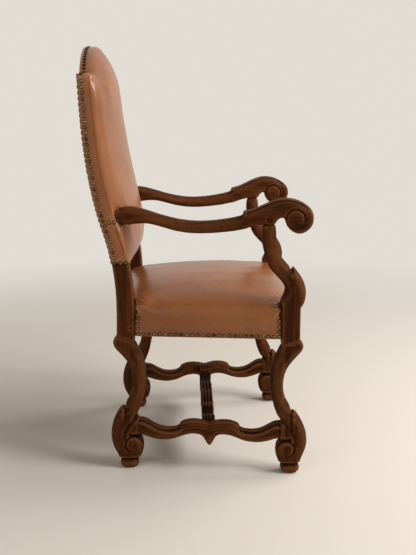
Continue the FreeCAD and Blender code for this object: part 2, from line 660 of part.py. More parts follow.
# Sections from the seat's rear edge to its front one: share of the depth, of the edge's and crown's rise
SEAT_SECTIONS = ((0.0, 0.35, 0.28), (0.06, 0.8, 0.62), (0.25, 1.0, 0.92), (0.5, 1.0, 1.0),
                 (0.75, 1.0, 0.92), (0.94, 0.8, 0.62), (1.0, 0.35, 0.28))


def seat_pad(grow):
    """Cushion as a loft across the seat: low at its front and rear edges, crowned in the middle."""
    f0 = SEAT_F0 - grow
    f1 = SEAT_F1 + grow
    depth = f1 - f0
    sections = []
    for share, edge_rise, crown in SEAT_SECTIONS:
        f = f0 + share * depth
        half = side_x(f, RAIL_OUT + grow)
        top = PAD_Z + grow + SEAT_CROWN * crown
        shoulder = PAD_Z + grow + SEAT_EDGE * edge_rise
        wall = PAD_Z + grow + 0.3 * SEAT_EDGE * edge_rise

        def at(x, z):
            return Vector(x, -f, z)

        inset = SEAT_EDGE
        bend = 0.25 * inset
        bend_z = wall + 0.72 * (shoulder - wall)
        edges = [
            Part.makeLine(at(-half, PAD_Z), at(half, PAD_Z)),
            Part.makeLine(at(half, PAD_Z), at(half, wall)),
            Part.Arc(at(half, wall), at(half - bend, bend_z), at(half - inset, shoulder)).toShape(),
            Part.Arc(at(half - inset, shoulder), at(0, top), at(-half + inset, shoulder)).toShape(),
            Part.Arc(at(-half + inset, shoulder), at(-half + bend, bend_z), at(-half, wall)).toShape(),
            Part.makeLine(at(-half, wall), at(-half, PAD_Z))]
        sections.append(Part.Wire(edges))
    return Part.makeLoft(sections, True, False)


straps_long = []
for share in (-0.66, -0.22, 0.22, 0.66):
    middle = share * rear_face
    straps_long.append(box(middle - STRAP_W / 2, middle + STRAP_W / 2,
                           SEAT_F0 + STRAP_IN, SEAT_F1 - STRAP_IN, STRAP_Z, STRAP_Z + STRAP_T))
straps_cross = []
for share in (0.2, 0.4, 0.6, 0.8):
    middle = POST_FACE_REAR + share * (POST_FACE_FRONT - POST_FACE_REAR)
    reach = side_x(middle - STRAP_W / 2, RAIL_OUT) - STRAP_IN
    straps_cross.append(box(-reach, reach, middle - STRAP_W / 2, middle + STRAP_W / 2,
                            STRAP_Z + STRAP_T, HESSIAN_Z))
keep("seat_straps_long", Part.makeCompound(straps_long))
keep("seat_straps_cross", Part.makeCompound(straps_cross))
hessian = seat_plan(SEAT_F0 + 2, SEAT_F1 - 2, RAIL_OUT - 2, HESSIAN_Z, PAD_Z)
keep("seat_hessian", whole(corners_cut(hessian, SUPPORT_SWELL + LEATHER_T)))
seat_stuffing = corners_cut(seat_pad(0.0), SUPPORT_SWELL + LEATHER_T)
keep("seat_stuffing", whole(seat_stuffing.translated(Vector(0, 0, SOFT_GAP))))
cover_out = LEATHER_T + 2 * SOFT_GAP
cover_skirt = seat_plan(SEAT_F0 - cover_out, SEAT_F1 + cover_out, RAIL_OUT + cover_out, RAIL_Z - 2, PAD_Z)
frame_plan = seat_plan(SEAT_F0 - SOFT_GAP, SEAT_F1 + SOFT_GAP, RAIL_OUT + SOFT_GAP, 0, PAD_Z)
leather = seat_pad(cover_out).fuse(cover_skirt).cut(seat_pad(2 * SOFT_GAP).fuse(frame_plan))
leather = corners_cut(leather, SOFT_GAP)
keep("seat_leather", whole(leather.cut(front_post).cut(mirrored(front_post))))

# Back upholstery: straps across the posts, hessian, crowned stuffing and a leather front panel.
# A leather border wraps the frame's sides and top, and a plain panel closes the back.
BACK_HALF = X_REAR + POST_W / 2
BACKING = STRAP_T + HESSIAN_T + 3 * SOFT_GAP
BORDER = 2 * SOFT_GAP
COVER = BORDER + LEATHER_T
STRAP_COUNT = 5
BACK_LEVELS = [BACK_Z + (SHOULDER_Z - CREST_H - BACK_Z) * i / 4 for i in range(5)]


def back_line(level):
    """The posts' front edges, carried on straight above the crest rail's lower edge."""
    last = BACK_LEVELS[-1]
    if level <= last:
        return post_front(level)
    rake = (post_front(SHOULDER_Z) - post_front(last)) / (SHOULDER_Z - last)
    return post_front(last) + rake * (level - last)


def back_arcs(x, low, top, out):
    """Edges up a line in front of the posts: two arcs, then straight to the top."""
    levels = [low] + BACK_LEVELS[1:]
    points = [Vector(x, -(back_line(z) + out), z) for z in levels]
    tip = Vector(x, -(back_line(top) + out), top)
    return [Part.Arc(points[0], points[1], points[2]).toShape(),
            Part.Arc(points[2], points[3], points[4]).toShape(),
            Part.makeLine(points[4], tip)]


def back_sheet(low, top, out, thick, half):
    """Sheet that follows the posts' front edges at a set distance in front of them."""
    rear = back_arcs(-half, low, top, out)
    front = back_arcs(-half, low, top, out + thick)
    ends = [Part.makeLine(rear[0].Vertexes[0].Point, front[0].Vertexes[0].Point),
            Part.makeLine(rear[-1].Vertexes[-1].Point, front[-1].Vertexes[-1].Point)]
    face = Part.Face(Part.Wire(Part.__sortEdges__(rear + front + ends)))
    return face.extrude(Vector(2 * half, 0, 0))


arms = arm.fuse(mirrored(arm))
uprights = rear_post.fuse(mirrored(rear_post))
strap_sheet = back_sheet(BACK_Z, ARCH_TOP, SOFT_GAP / 2, STRAP_T, BACK_HALF - 6)
back_straps = []
pitch = (SHOULDER_Z - CREST_H - BACK_Z - BACK_RAIL_H) / STRAP_COUNT
for i in range(STRAP_COUNT):
    level = BACK_Z + BACK_RAIL_H + pitch * (i + 0.5)
    strap = strap_sheet.common(box(-BIG, BIG, -BIG, BIG, level - STRAP_W / 2, level + STRAP_W / 2))
    back_straps.append(whole(strap.cut(uprights).cut(arms)))
keep("back_straps", Part.makeCompound(back_straps))
hessian = back_sheet(BACK_Z, ARCH_TOP, STRAP_T + SOFT_GAP, HESSIAN_T, BACK_HALF - 4)
keep("back_hessian", whole(hessian.common(arch_prism(-4.0, 0.0, BIG)).cut(arms)))


def back_pad(grow, rear_set):
    """Back cushion as lofts across the chair: arched at the top, and bulging forwards in the middle."""
    half = BACK_HALF + grow
    chord = arch_half(grow)
    low = BACK_Z - grow

    def section(x):
        top = arch_z(x, grow)
        full = max(0.0, 1 - (x / half) ** 2) ** 0.8
        bulge = BACKING + grow + BACK_EDGE + (BACK_CROWN - BACK_EDGE) * full

        def at(level, out):
            return Vector(x, -(back_line(level) + out), level)

        belly = low + 0.13 * BACK_POST_H
        waist = low + 0.36 * (top - low)
        chest = top - 0.13 * BACK_POST_H
        under = at(low + 0.28 * (belly - low), 0.63 * bulge)
        brow = at(top - 0.2 * (top - chest), 0.62 * bulge)
        edges = [
            Part.Arc(at(low, BACKING), under, at(belly, bulge)).toShape(),
            Part.Arc(at(belly, bulge), at(waist, bulge * 1.04), at(chest, 0.96 * bulge)).toShape(),
            Part.Arc(at(chest, 0.96 * bulge), brow, at(top, BACKING)).toShape(),
            Part.makeLine(at(top, BACKING), at(top, rear_set)),
            Part.makeLine(at(low, rear_set), at(low, BACKING))] + back_arcs(x, low, top, rear_set)
        return Part.Wire(Part.__sortEdges__(edges))

    def loft(places):
        return Part.makeLoft([section(x) for x in places], True, False)

    wing = [chord, (chord + half) / 2, half]
    middle = loft([-chord, -0.68 * chord, -0.34 * chord, 0, 0.34 * chord, 0.68 * chord, chord])
    return middle.fuse(loft(wing)).fuse(loft([-x for x in reversed(wing)]))


stuffing = back_pad(0.0, BACKING - SOFT_GAP)
keep("back_stuffing", whole(stuffing.cut(arms)))
front_panel = back_pad(COVER, BACKING - SOFT_GAP / 2).cut(back_pad(BORDER, BACKING - 20.0))
keep("back_leather", whole(front_panel.cut(arms)))

TIP_Z = ARCH_TOP + 10.0


def behind(rear_out, half):
    """Everything in front of a sheet that follows the posts' rear edges, some way behind them."""
    curve = [(f - rear_out, z) for f, z in rear_line]
    tip = (post_rear(TIP_Z) - rear_out, TIP_Z)
    return slab([curve, [curve[-1], tip], [tip, (BIG, TIP_Z)], [(BIG, TIP_Z), (BIG, curve[0][1])],
                 [(BIG, curve[0][1]), curve[0]]], -half, half)


def padded_outline(grow):
    """The back as seen from the front, from the padding's lower edge to the arch."""
    return arch_prism(grow, BACK_Z - COVER, BACK_HALF + grow)


border = behind(0.0, BIG).common(padded_outline(COVER)).cut(arch_prism(BORDER, -BIG, BACK_HALF + BORDER))
in_front = back_sheet(BACK_Z - COVER, TIP_Z, BACKING - SOFT_GAP, 2 * BIG, BIG)
border = border.cut(in_front).cut(arms)
keep("back_border", whole(border))
panel = behind(SOFT_GAP + LEATHER_T, BIG).cut(behind(SOFT_GAP, BIG))
keep("outside_back", whole(panel.common(padded_outline(COVER))))

# Domed brass nails: rows along the seat's lower edges, beside the posts, and round the edges of the back
DOME_R = (NAIL_R ** 2 + NAIL_H ** 2) / (2 * NAIL_H)
DOME_TOP = NAIL_H - 0.1     # the very top is a small flat
NAIL = Part.makeSphere(DOME_R, Vector(0, 0, NAIL_H - DOME_R))
NAIL = NAIL.common(box(-BIG, BIG, -BIG, BIG, 0.0, DOME_TOP)).Solids[0]


def nail(x, forward, z, way):
    """A nail head on the leather, pointing the way given as (across, forward, up)."""
    turn = FreeCAD.Rotation(Vector(0, 0, 1), Vector(way[0], -way[1], way[2]))
    head = NAIL.copy()
    head.Placement = FreeCAD.Placement(Vector(x, -forward, z), turn)
    return head


def spaced(start, stop):
    """Evenly spaced places, as near the nails' pitch as they come."""
    count = max(1, round(abs(stop - start) / NAIL_PITCH))
    return [start + (stop - start) * i / count for i in range(count + 1)]


ROW_Z = RAIL_Z - 2 + NAIL_EDGE
STACK = [ROW_Z + NAIL_PITCH * (i + 1) for i in range(NAIL_STACK)]
side_way = (math.cos(SPLAY), -math.sin(SPLAY), 0)
side_out = RAIL_OUT + COVER
side_row = spaced(POST_FACE_REAR + 3 + NAIL_EDGE, POST_FACE_FRONT - 1 - NAIL_EDGE)
side_nails = [nail(side_x(f, side_out), f, ROW_Z, side_way) for f in side_row]
for f in (side_row[0], side_row[-1]):
    side_nails += [nail(side_x(f, side_out), f, z, side_way) for z in STACK]
keep_pair("seat_nails", Part.makeCompound(side_nails))
for name, face_x, f, way in (("seat_nails_front", front_face, SEAT_F1 + COVER, (0, 1, 0)),
                             ("seat_nails_rear", rear_face, SEAT_F0 - COVER, (0, -1, 0))):
    row = spaced(-face_x + 1 + NAIL_EDGE, face_x - 1 - NAIL_EDGE)
    heads = [nail(x, f, ROW_Z, way) for x in row]
    heads += [nail(x, f, z, way) for x in (row[0], row[-1]) for z in STACK]
    keep(name, Part.makeCompound(heads))


def climb(start, stop):
    """Heights of nails that follow the raked rear edge of the back at an even pitch."""
    levels = [start]
    while levels[-1] < stop - NAIL_PITCH:
        rise = post_rear(levels[-1] + 1.0) - post_rear(levels[-1])
        levels.append(levels[-1] + NAIL_PITCH / math.hypot(1.0, rise))
    return levels


back_x = BACK_HALF + COVER
side_levels = climb(BACK_Z - COVER + NAIL_EDGE, SHOULDER_Z - NAIL_EDGE)
low_row = side_levels[0]
slit_z = ARM_ROOT_Z - 14.0


def side_nail(z, step=0):
    """Nail on the side of the back, some steps forward of its rear edge."""
    return nail(back_x, post_rear(z) + NAIL_BACK_EDGE + NAIL_PITCH * step, z, (1, 0, 0))


edge_nails = [side_nail(z) for z in side_levels]
edge_nails += [side_nail(z, step) for z in (low_row, slit_z) for step in (1, 2)]
keep_pair("back_nails", Part.makeCompound(edge_nails))


def arch_row(grow, inset):
    """Places along the back's top edge as (x, z, across, up), from the shoulder's end over the arch."""
    radius = ARCH_R + grow
    chord = arch_half(grow)
    turn = math.asin(chord / radius)
    flat = [(x, SHOULDER_Z + grow, 0.0, 1.0) for x in spaced(BACK_HALF - inset, chord + NAIL_R)]
    count = round(2 * turn * radius / NAIL_PITCH)
    angles = [turn * (1 - 2 * (i + 0.5) / count) for i in range(count)]
    ways = [(math.sin(a), math.cos(a)) for a in angles]
    curved = [(radius * across, ARCH_CENTRE + radius * up, across, up) for across, up in ways]
    return flat + curved + [(-x, z, -across, up) for x, z, across, up in reversed(flat)]


crest_nails = []
for x, z, across, up in arch_row(COVER, 0.0):
    crest_nails.append(nail(x, post_rear(z) + NAIL_BACK_EDGE, z, (across, 0, up)))
keep("crest_nails", Part.makeCompound(crest_nails))


def rear_nail(x, z):
    rise = (post_rear(z + 1.0) - post_rear(z - 1.0)) / 2
    return nail(x, post_rear(z) - SOFT_GAP - LEATHER_T, z, (0, -1, rise))


inset = NAIL_EDGE
panel_nails = [rear_nail(way * (BACK_HALF - inset), z) for z in side_levels[1:-1] for way in (1, -1)]
panel_nails += [rear_nail(x, z) for x, z, across, up in arch_row(-inset, inset)]
panel_nails += [rear_nail(x, low_row) for x in spaced(-BACK_HALF + inset, BACK_HALF - inset)]
keep("outside_back_nails", Part.makeCompound(panel_nails))

# The origin is under the middle of the chair's box, on the floor
whole_box = Part.makeCompound(list(PIECES.values())).optimalBoundingBox()
SHIFT = Vector(0, -(whole_box.YMin + whole_box.YMax) / 2, 0)
print("chair %.1f wide, %.1f deep, %.1f high, moved %.2f" % (
    whole_box.XLength, whole_box.YLength, whole_box.ZLength, SHIFT.y))
os.makedirs("parts", exist_ok=True)
for name, shape in PIECES.items():
    placed = shape.translated(SHIFT)
    placed.exportStep("parts/%s.step" % name)
    print(name, len(placed.Solids), round(placed.Volume), placed.isValid())
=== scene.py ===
import json
import math

import bmesh
import bpy
import numpy as np
from mathutils import Euler, Matrix, Vector, noise
from mathutils.kdtree import KDTree


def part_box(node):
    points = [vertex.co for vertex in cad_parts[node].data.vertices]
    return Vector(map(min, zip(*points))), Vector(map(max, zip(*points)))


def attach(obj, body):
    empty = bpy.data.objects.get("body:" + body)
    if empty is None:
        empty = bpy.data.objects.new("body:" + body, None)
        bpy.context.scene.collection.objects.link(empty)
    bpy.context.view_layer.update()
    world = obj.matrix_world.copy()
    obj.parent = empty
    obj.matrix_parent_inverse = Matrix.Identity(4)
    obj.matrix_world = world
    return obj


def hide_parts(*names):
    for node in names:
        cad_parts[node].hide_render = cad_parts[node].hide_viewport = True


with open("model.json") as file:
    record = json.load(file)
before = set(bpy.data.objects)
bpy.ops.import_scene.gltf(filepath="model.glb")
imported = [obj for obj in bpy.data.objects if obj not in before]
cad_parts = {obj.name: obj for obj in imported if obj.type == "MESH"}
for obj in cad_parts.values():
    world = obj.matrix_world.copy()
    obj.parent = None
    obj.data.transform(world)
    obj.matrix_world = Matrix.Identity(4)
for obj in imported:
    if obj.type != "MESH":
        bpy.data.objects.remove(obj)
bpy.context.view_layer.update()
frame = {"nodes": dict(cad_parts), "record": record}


# Studio
# A round pale floor, pale surroundings and three large soft lamps stand for the room.
# The camera looks at the sitter's right side from a little above the arms.
scene = bpy.context.scene
scene.view_settings.view_transform = "Standard"

FLOOR_RADIUS = 9.0
FLOOR_COLOUR = (0.80, 0.73, 0.64, 1)
SURROUND_COLOUR = (0.76, 0.72, 0.66, 1)
SURROUND_LIGHT = 0.30
FLOOR_FADE = (0.9, 3.0)


def new_piece(name, bm):
    """A new object made of the bmesh, which is freed."""
    mesh = bpy.data.meshes.new(name)
    bm.to_mesh(mesh)
    bm.free()
    piece = bpy.data.objects.new(name, mesh)
    scene.collection.objects.link(piece)
    return piece


def new_material(name):
    """A new material, with its nodes and its shader."""
    made = bpy.data.materials.new(name)
    made.use_nodes = True
    return made, made.node_tree, made.node_tree.nodes["Principled BSDF"]


def maths(tree, operation, *values):
    """One number worked out from values, each a number or another node's output."""
    made = tree.nodes.new("ShaderNodeMath")
    made.operation = operation
    for socket, value in zip(made.inputs, values):
        if isinstance(value, bpy.types.NodeSocket):
            tree.links.new(value, socket)
        else:
            socket.default_value = value
    return made.outputs[0]


def spread(tree, value, low, high, start=0, end=1, smooth=False):
    """The value carried over from the range low to high to the range start to end, and held there."""
    made = tree.nodes.new("ShaderNodeMapRange")
    if smooth:
        made.interpolation_type = "SMOOTHSTEP"
    tree.links.new(value, made.inputs["Value"])
    made.inputs["From Min"].default_value = low
    made.inputs["From Max"].default_value = high
    made.inputs["To Min"].default_value = start
    made.inputs["To Max"].default_value = end
    return made.outputs["Result"]


def seen_rays(tree):
    """1 on rays from the camera and on those that gloss or glass sends on, 0 on rays that only light."""
    path = tree.nodes.new("ShaderNodeLightPath")
    direct = maths(tree, "MAXIMUM", path.outputs["Is Camera Ray"], path.outputs["Is Glossy Ray"])
    return maths(tree, "MAXIMUM", direct, path.outputs["Is Transmission Ray"])


bm = bmesh.new()
bmesh.ops.create_circle(bm, cap_ends=True, segments=96, radius=FLOOR_RADIUS)
floor = new_piece("floor", bm)

floor_paint, tree, shader = new_material("floor_paint")
shader.inputs["Base Color"].default_value = FLOOR_COLOUR
shader.inputs["Roughness"].default_value = 0.62
shader.inputs["Specular IOR Level"].default_value = 0.3
place = tree.nodes.new("ShaderNodeTexCoord")
away = tree.nodes.new("ShaderNodeVectorMath")
away.operation = "LENGTH"
tree.links.new(place.outputs["Object"], away.inputs[0])
fade = spread(tree, away.outputs["Value"], *FLOOR_FADE, smooth=True)
haze = tree.nodes.new("ShaderNodeEmission")
haze.inputs["Color"].default_value = SURROUND_COLOUR
blend = tree.nodes.new("ShaderNodeMixShader")
tree.links.new(maths(tree, "MULTIPLY", fade, seen_rays(tree)), blend.inputs["Fac"])
tree.links.new(shader.outputs["BSDF"], blend.inputs[1])
tree.links.new(haze.outputs["Emission"], blend.inputs[2])
tree.links.new(blend.outputs["Shader"], tree.nodes["Material Output"].inputs["Surface"])
floor.data.materials.append(floor_paint)

world = bpy.data.worlds.new("surround")
scene.world = world
world.use_nodes = True
tree = world.node_tree
tree.nodes.clear()
seen = tree.nodes.new("ShaderNodeBackground")
seen.inputs["Color"].default_value = SURROUND_COLOUR
seen.inputs["Strength"].default_value = 1.0
lit = tree.nodes.new("ShaderNodeBackground")
lit.inputs["Color"].default_value = SURROUND_COLOUR
lit.inputs["Strength"].default_value = SURROUND_LIGHT
choose = tree.nodes.new("ShaderNodeMixShader")
sky = tree.nodes.new("ShaderNodeOutputWorld")
tree.links.new(seen_rays(tree), choose.inputs["Fac"])
tree.links.new(lit.outputs[0], choose.inputs[1])
tree.links.new(seen.outputs[0], choose.inputs[2])
tree.links.new(choose.outputs[0], sky.inputs["Surface"])


def soft_lamp(name, place, aim, size, watts):
    """A square lamp at place, turned towards aim."""
    light = bpy.data.lights.new(name, "AREA")
    light.energy = watts
    light.size = size
    lamp = bpy.data.objects.new(name, light)
    lamp.location = place
    lamp.rotation_euler = (Vector(aim) - Vector(place)).to_track_quat("-Z", "Y").to_euler()
    scene.collection.objects.link(lamp)


soft_lamp("key_lamp", (-1.1, -2.8, 2.4), (0, 0, 0.6), 1.4, 92)
soft_lamp("fill_lamp", (-2.6, 1.8, 2.0), (0, 0, 0.5), 2.2, 14)
soft_lamp("front_lamp", (0.7, -2.3, 2.9), (0, 0, 0.6), 1.8, 54)

CAMERA_PLACE = Vector((-2.515, 0.0295, 1.0286))
CAMERA_YAW = math.radians(1.57)
CAMERA_PITCH = math.radians(12.18)
SENSOR = 36
CAMERA_FOCUS = 870 / 555 * SENSOR

camera_data = bpy.data.cameras.new("camera")
camera_data.lens = CAMERA_FOCUS
camera_data.sensor_width = SENSOR
camera = bpy.data.objects.new("camera", camera_data)
looking = Vector((
    math.cos(CAMERA_YAW) * math.cos(CAMERA_PITCH),
    -math.sin(CAMERA_YAW) * math.cos(CAMERA_PITCH),
    -math.sin(CAMERA_PITCH),
))
camera.location = CAMERA_PLACE
camera.rotation_euler = looking.to_track_quat("-Z", "Y").to_euler()
scene.collection.objects.link(camera)
scene.camera = camera


# Scrolled legs
# Each leg is carved from one walnut billet: a swelling shank over a hooked scroll, with a volute
# cut into both faces and a bun foot. A round tenon on its top is glued into the post above.
CARVING_VOXEL = 0.0014
LEG_VOLUTE = (-11.5, 68.5)
LEG_VOLUTE_RADII = (26.5, 19.5)
LEG_VOLUTE_TURN = (168, -100)
LEG_CREASE = (((-20, 146), (0, 125), 0.9), ((0, 125), (9.5, 107), 1.0), ((9.5, 107), (13.5, 84), 1.0))
LEAF_TIP = 171
STRETCHER_SEAT = 122
COLLAR_SIZE = (0.046, 0.009, 0.048)
ROUND_FALL = 7.5
FOOT_HALF = (25.5, 23.0)
FOOT_PROFILE = ((0, 0.72), (4, 0.87), (9, 0.99), (14, 1.04), (19, 1.01), (24, 0.90), (28, 0.84), (34, 1.0))
WALNUT_TONES = (
    (0.30, (0.017, 0.0045, 0.0013, 1)), (0.5, (0.060, 0.0155, 0.0033, 1)), (0.72, (0.120, 0.034, 0.0078, 1)),
)
PORE_COLOUR = (0.014, 0.005, 0.0025, 1)
WORN_WOOD = (0.20, 0.070, 0.019, 1)
# Dark colour for grime and painted shade in the wood's hollows.
GRIME_AND_SHADE = (0.011, 0.0042, 0.0022, 1)


def joined_copy(name, *nodes):
    """A new piece made of the merged meshes of CAD nodes."""
    bm = bmesh.new()
    for node in nodes:
        bm.from_mesh(frame["nodes"][node].data)
    bmesh.ops.remove_doubles(bm, verts=bm.verts, dist=1e-5)
    return new_piece(name, bm)


def take_shape(piece):
    """Fixes the shape that the piece's modifiers give it, and removes them."""
    graph = bpy.context.evaluated_depsgraph_get()
    shaped = bpy.data.meshes.new_from_object(piece.evaluated_get(graph))
    rough = piece.data
    piece.modifiers.clear()
    piece.data = shaped
    bpy.data.meshes.remove(rough)
    shaped.materials.clear()
    shaped.name = piece.name


def even_skin(piece, voxel):
    """Gives the piece an even skin of small faces, so that it can be carved."""
    skin = piece.modifiers.new("skin", "REMESH")
    skin.mode = "VOXEL"
    skin.voxel_size = voxel
    take_shape(piece)


def points_of(piece):
    """The piece's points in millimetres, one row each."""
    flat = np.empty(len(piece.data.vertices) * 3)
    piece.data.vertices.foreach_get("co", flat)
    return flat.reshape(-1, 3) * 1000


def move_points(piece, points):
    """Puts the piece's points where the rows, in millimetres, say."""
    piece.data.vertices.foreach_set("co", (points / 1000).ravel())
    piece.data.update()


def facing_of(piece):
    """The direction that the skin faces at each point."""
    flat = np.empty(len(piece.data.vertices) * 3)
    piece.data.vertex_normals.foreach_get("vector", flat)
    return flat.reshape(-1, 3)


def rasped(piece, points, weight, rounds):
    """The points after rounding over: each moves towards its neighbours' middle by its weight."""
    ends = np.empty(len(piece.data.edges) * 2, dtype=np.int64)
    piece.data.edges.foreach_get("vertices", ends)
    one, other = ends[0::2], ends[1::2]
    count = np.bincount(ends, minlength=len(points))
    weight = np.broadcast_to(weight, len(points))[:, None]
    for _ in range(rounds):
        total = np.stack([
            np.bincount(one, points[other, k], len(points)) + np.bincount(other, points[one, k], len(points))
            for k in range(3)
        ], axis=1)
        points = points + weight * (total / count[:, None] - points)
    return points


def rounded_over(points, facing, side, middle, fall, reach, joint=None):
    """The points after the faces on both sides swell: the rim closes in by fall on each face, and the
    face rises to full width over reach. side is the direction across the piece, middle its middle, and
    joint marks points that meet another piece and are no rim."""
    across = points @ side - middle
    half = np.max(np.abs(across))
    edge = np.abs(facing @ side) < 0.5
    if joint is not None:
        edge &= ~joint
    flat = points - np.outer(across, side)
    near = np.zeros(len(points))
    for hand in (1, -1):
        rim = edge & (across * hand > 0.4 * half)
        tree = KDTree(int(rim.sum()))
        for i, p in enumerate(flat[rim]):
            tree.insert(p, i)
        tree.balance()
        here = across * hand > 0
        off = np.array([tree.find(p)[2] for p in flat[here]])
        near[here] = np.clip(1 - off / reach, 0, 1) ** 2
    return points - np.outer(across * near * fall / half, side)


def ramp(value, low, high):
    """0 below low, 1 above high and a smooth rise between."""
    share = np.clip((value - low) / (high - low), 0, 1)
    return share * share * (3 - 2 * share)


def window(value, start, full, last, end):
    """0 below start and above end, 1 from full to last and smooth between."""
    return ramp(value, start, full) * (1 - ramp(value, last, end))


def mark_relief(piece, rounds=14, stain=0):
    """Stores how hollow (to 1) or how edged (to -1) the skin is at each point, for dirt and painted shade in
    the hollows and for wear on the edges. stain darkens some points further: dark stain together with painted
    shade."""
    points = points_of(piece)
    hollow = ((rasped(piece, points, 0.5, rounds) - points) * facing_of(piece)).sum(axis=1)
    hollow = np.clip(hollow / 0.42, -1, 1)
    soft = np.clip(rasped(piece, np.repeat(hollow[:, None], 3, axis=1), 0.5, 4)[:, 0] + stain, -1, 1)
    layer = piece.data.attributes.new("relief", "FLOAT", "POINT")
    layer.data.foreach_set("value", soft.astype(np.float32))


def tool_marks(points, depth, pitch):
    """Small uneven swells that a gouge and scraper leave, as a height at each point."""
    return depth * np.array([noise.noise(Vector(p) / pitch) for p in points])


def groove(across, width, depth):
    """The depth of a round-bottomed groove at a distance across from its line."""
    return depth * np.exp(-((across / width) ** 2))


def off_segment(u, v, start, end):
    """Distance from a line on a face, and how far along it, from 0 to 1."""
    du, dv = end[0] - start[0], end[1] - start[1]
    share = np.clip(((u - start[0]) * du + (v - start[1]) * dv) / (du * du + dv * dv), 0, 1)
    return np.hypot(u - start[0] - share * du, v - start[1] - share * dv), share


def spiral(u, v, centre, radii, turn, width, depth):
    """A groove that winds from turn[0] round to turn[1] degrees while its radius closes in."""
    radius = np.hypot(u - centre[0], v - centre[1])
    angle = np.degrees(np.arctan2(v - centre[1], u - centre[0]))
    share = ((turn[0] - angle) % 360) / (turn[0] - turn[1])
    line = radii[0] + (radii[1] - radii[0]) * share
    live = (share <= 1) * ramp(1.02 - share, 0, 0.32)
    return groove(radius - line, width, depth) * live


def clouds(tree, place, scale, detail, roughness=0.5, distortion=0):
    """A field of noise over place, which is another node's output."""
    made = tree.nodes.new("ShaderNodeTexNoise")
    tree.links.new(place, made.inputs["Vector"])
    made.inputs["Scale"].default_value = scale
    made.inputs["Detail"].default_value = detail
    made.inputs["Roughness"].default_value = roughness
    made.inputs["Distortion"].default_value = distortion
    return made.outputs["Fac"]


def colour_ramp(tree, share, *stops):
    """The colour that share picks among stops, each a position and a colour."""
    made = tree.nodes.new("ShaderNodeValToRGB")
    tree.links.new(share, made.inputs["Fac"])
    marks = made.color_ramp.elements
    marks[0].position, marks[0].color = stops[0]
    marks[1].position, marks[1].color = stops[-1]
    for position, colour in stops[1:-1]:
        marks.new(position).color = colour
    return made.outputs["Color"]


def tinted(tree, base, colour, share):
    """The base colour with a share of another mixed in."""
    made = tree.nodes.new("ShaderNodeMix")
    made.data_type = "RGBA"
    made.inputs["B"].default_value = colour
    tree.links.new(share, made.inputs["Factor"])
    tree.links.new(base, made.inputs["A"])
    return made.outputs["Result"]


def stored(tree, name):
    """A number that is stored at the mesh's points."""
    made = tree.nodes.new("ShaderNodeAttribute")
    made.attribute_name = name
    return made.outputs["Fac"]


def bumped(tree, height, strength, distance):
    """Roughens the material's surface by height."""
    made = tree.nodes.new("ShaderNodeBump")
    made.inputs["Strength"].default_value = strength
    made.inputs["Distance"].default_value = distance
    tree.links.new(height, made.inputs["Height"])
    tree.links.new(made.outputs["Normal"], tree.nodes["Principled BSDF"].inputs["Normal"])
    return made


def walnut(name, stretch):
    """Waxed walnut whose grain runs along the axis with the small stretch."""
    made, tree, shader = new_material(name)
    shader.inputs["Specular IOR Level"].default_value = 0.06
    place = tree.nodes.new("ShaderNodeTexCoord")
    along = tree.nodes.new("ShaderNodeMapping")
    along.inputs["Scale"].default_value = stretch
    tree.links.new(place.outputs["Object"], along.inputs["Vector"])

    figure = clouds(tree, along.outputs["Vector"], 42, 5, 0.62, 0.7)
    pores = spread(tree, clouds(tree, along.outputs["Vector"], 620, 2), 0.56, 0.70)
    relief = stored(tree, "relief")
    # dirt_and_shade darkens the hollows: grime together with painted shade.
    dirt_and_shade = spread(tree, relief, 0.04, 0.75, 0, 0.88)
    wear = spread(tree, relief, -0.12, -0.85, 0, 0.62)
    colour = colour_ramp(tree, figure, *WALNUT_TONES)
    colour = tinted(tree, colour, PORE_COLOUR, maths(tree, "MULTIPLY", pores, 0.55))
    colour = tinted(tree, colour, WORN_WOOD, wear)
    colour = tinted(tree, colour, GRIME_AND_SHADE, dirt_and_shade)
    tree.links.new(colour, shader.inputs["Base Color"])

    gloss = spread(tree, figure, 0.3, 0.7, 0.62, 0.42)
    tree.links.new(maths(tree, "MULTIPLY_ADD", dirt_and_shade, 0.3, gloss), shader.inputs["Roughness"])
    bumped(tree, pores, 0.22, 0.0004).invert = True
    return made


walnut_upright = walnut("walnut_upright", (1, 1, 0.06))


def finish_wood(piece, wood, *nodes, stain=0):
    """Marks the hollows for dirt and painted shade and the edges for wear, gives the wood its finish and
    fixes the piece in place of its CAD nodes.
    """
    mark_relief(piece, stain=stain)
    piece.data.materials.append(wood)
    piece.data.shade_smooth()
    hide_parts(*nodes)
    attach(piece, "root")


def other_side(piece, name, wood, *nodes):
    """The same carving mirrored across the chair."""
    bm = bmesh.new()
    bm.from_mesh(piece.data)
    bmesh.ops.scale(bm, vec=(-1, 1, 1), verts=bm.verts)
    bmesh.ops.reverse_faces(bm, faces=bm.faces)
    twin = new_piece(name, bm)
    twin.data.materials.append(wood)
    twin.data.shade_smooth()
    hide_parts(*nodes)
    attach(twin, "root")


mounts = {m["name"]: Vector(m["pos_m"]) * 1000 for m in frame["record"]["mounts"]}
front_foot = mounts["foot_front_left"]
rear_foot = mounts["foot_rear_left"]


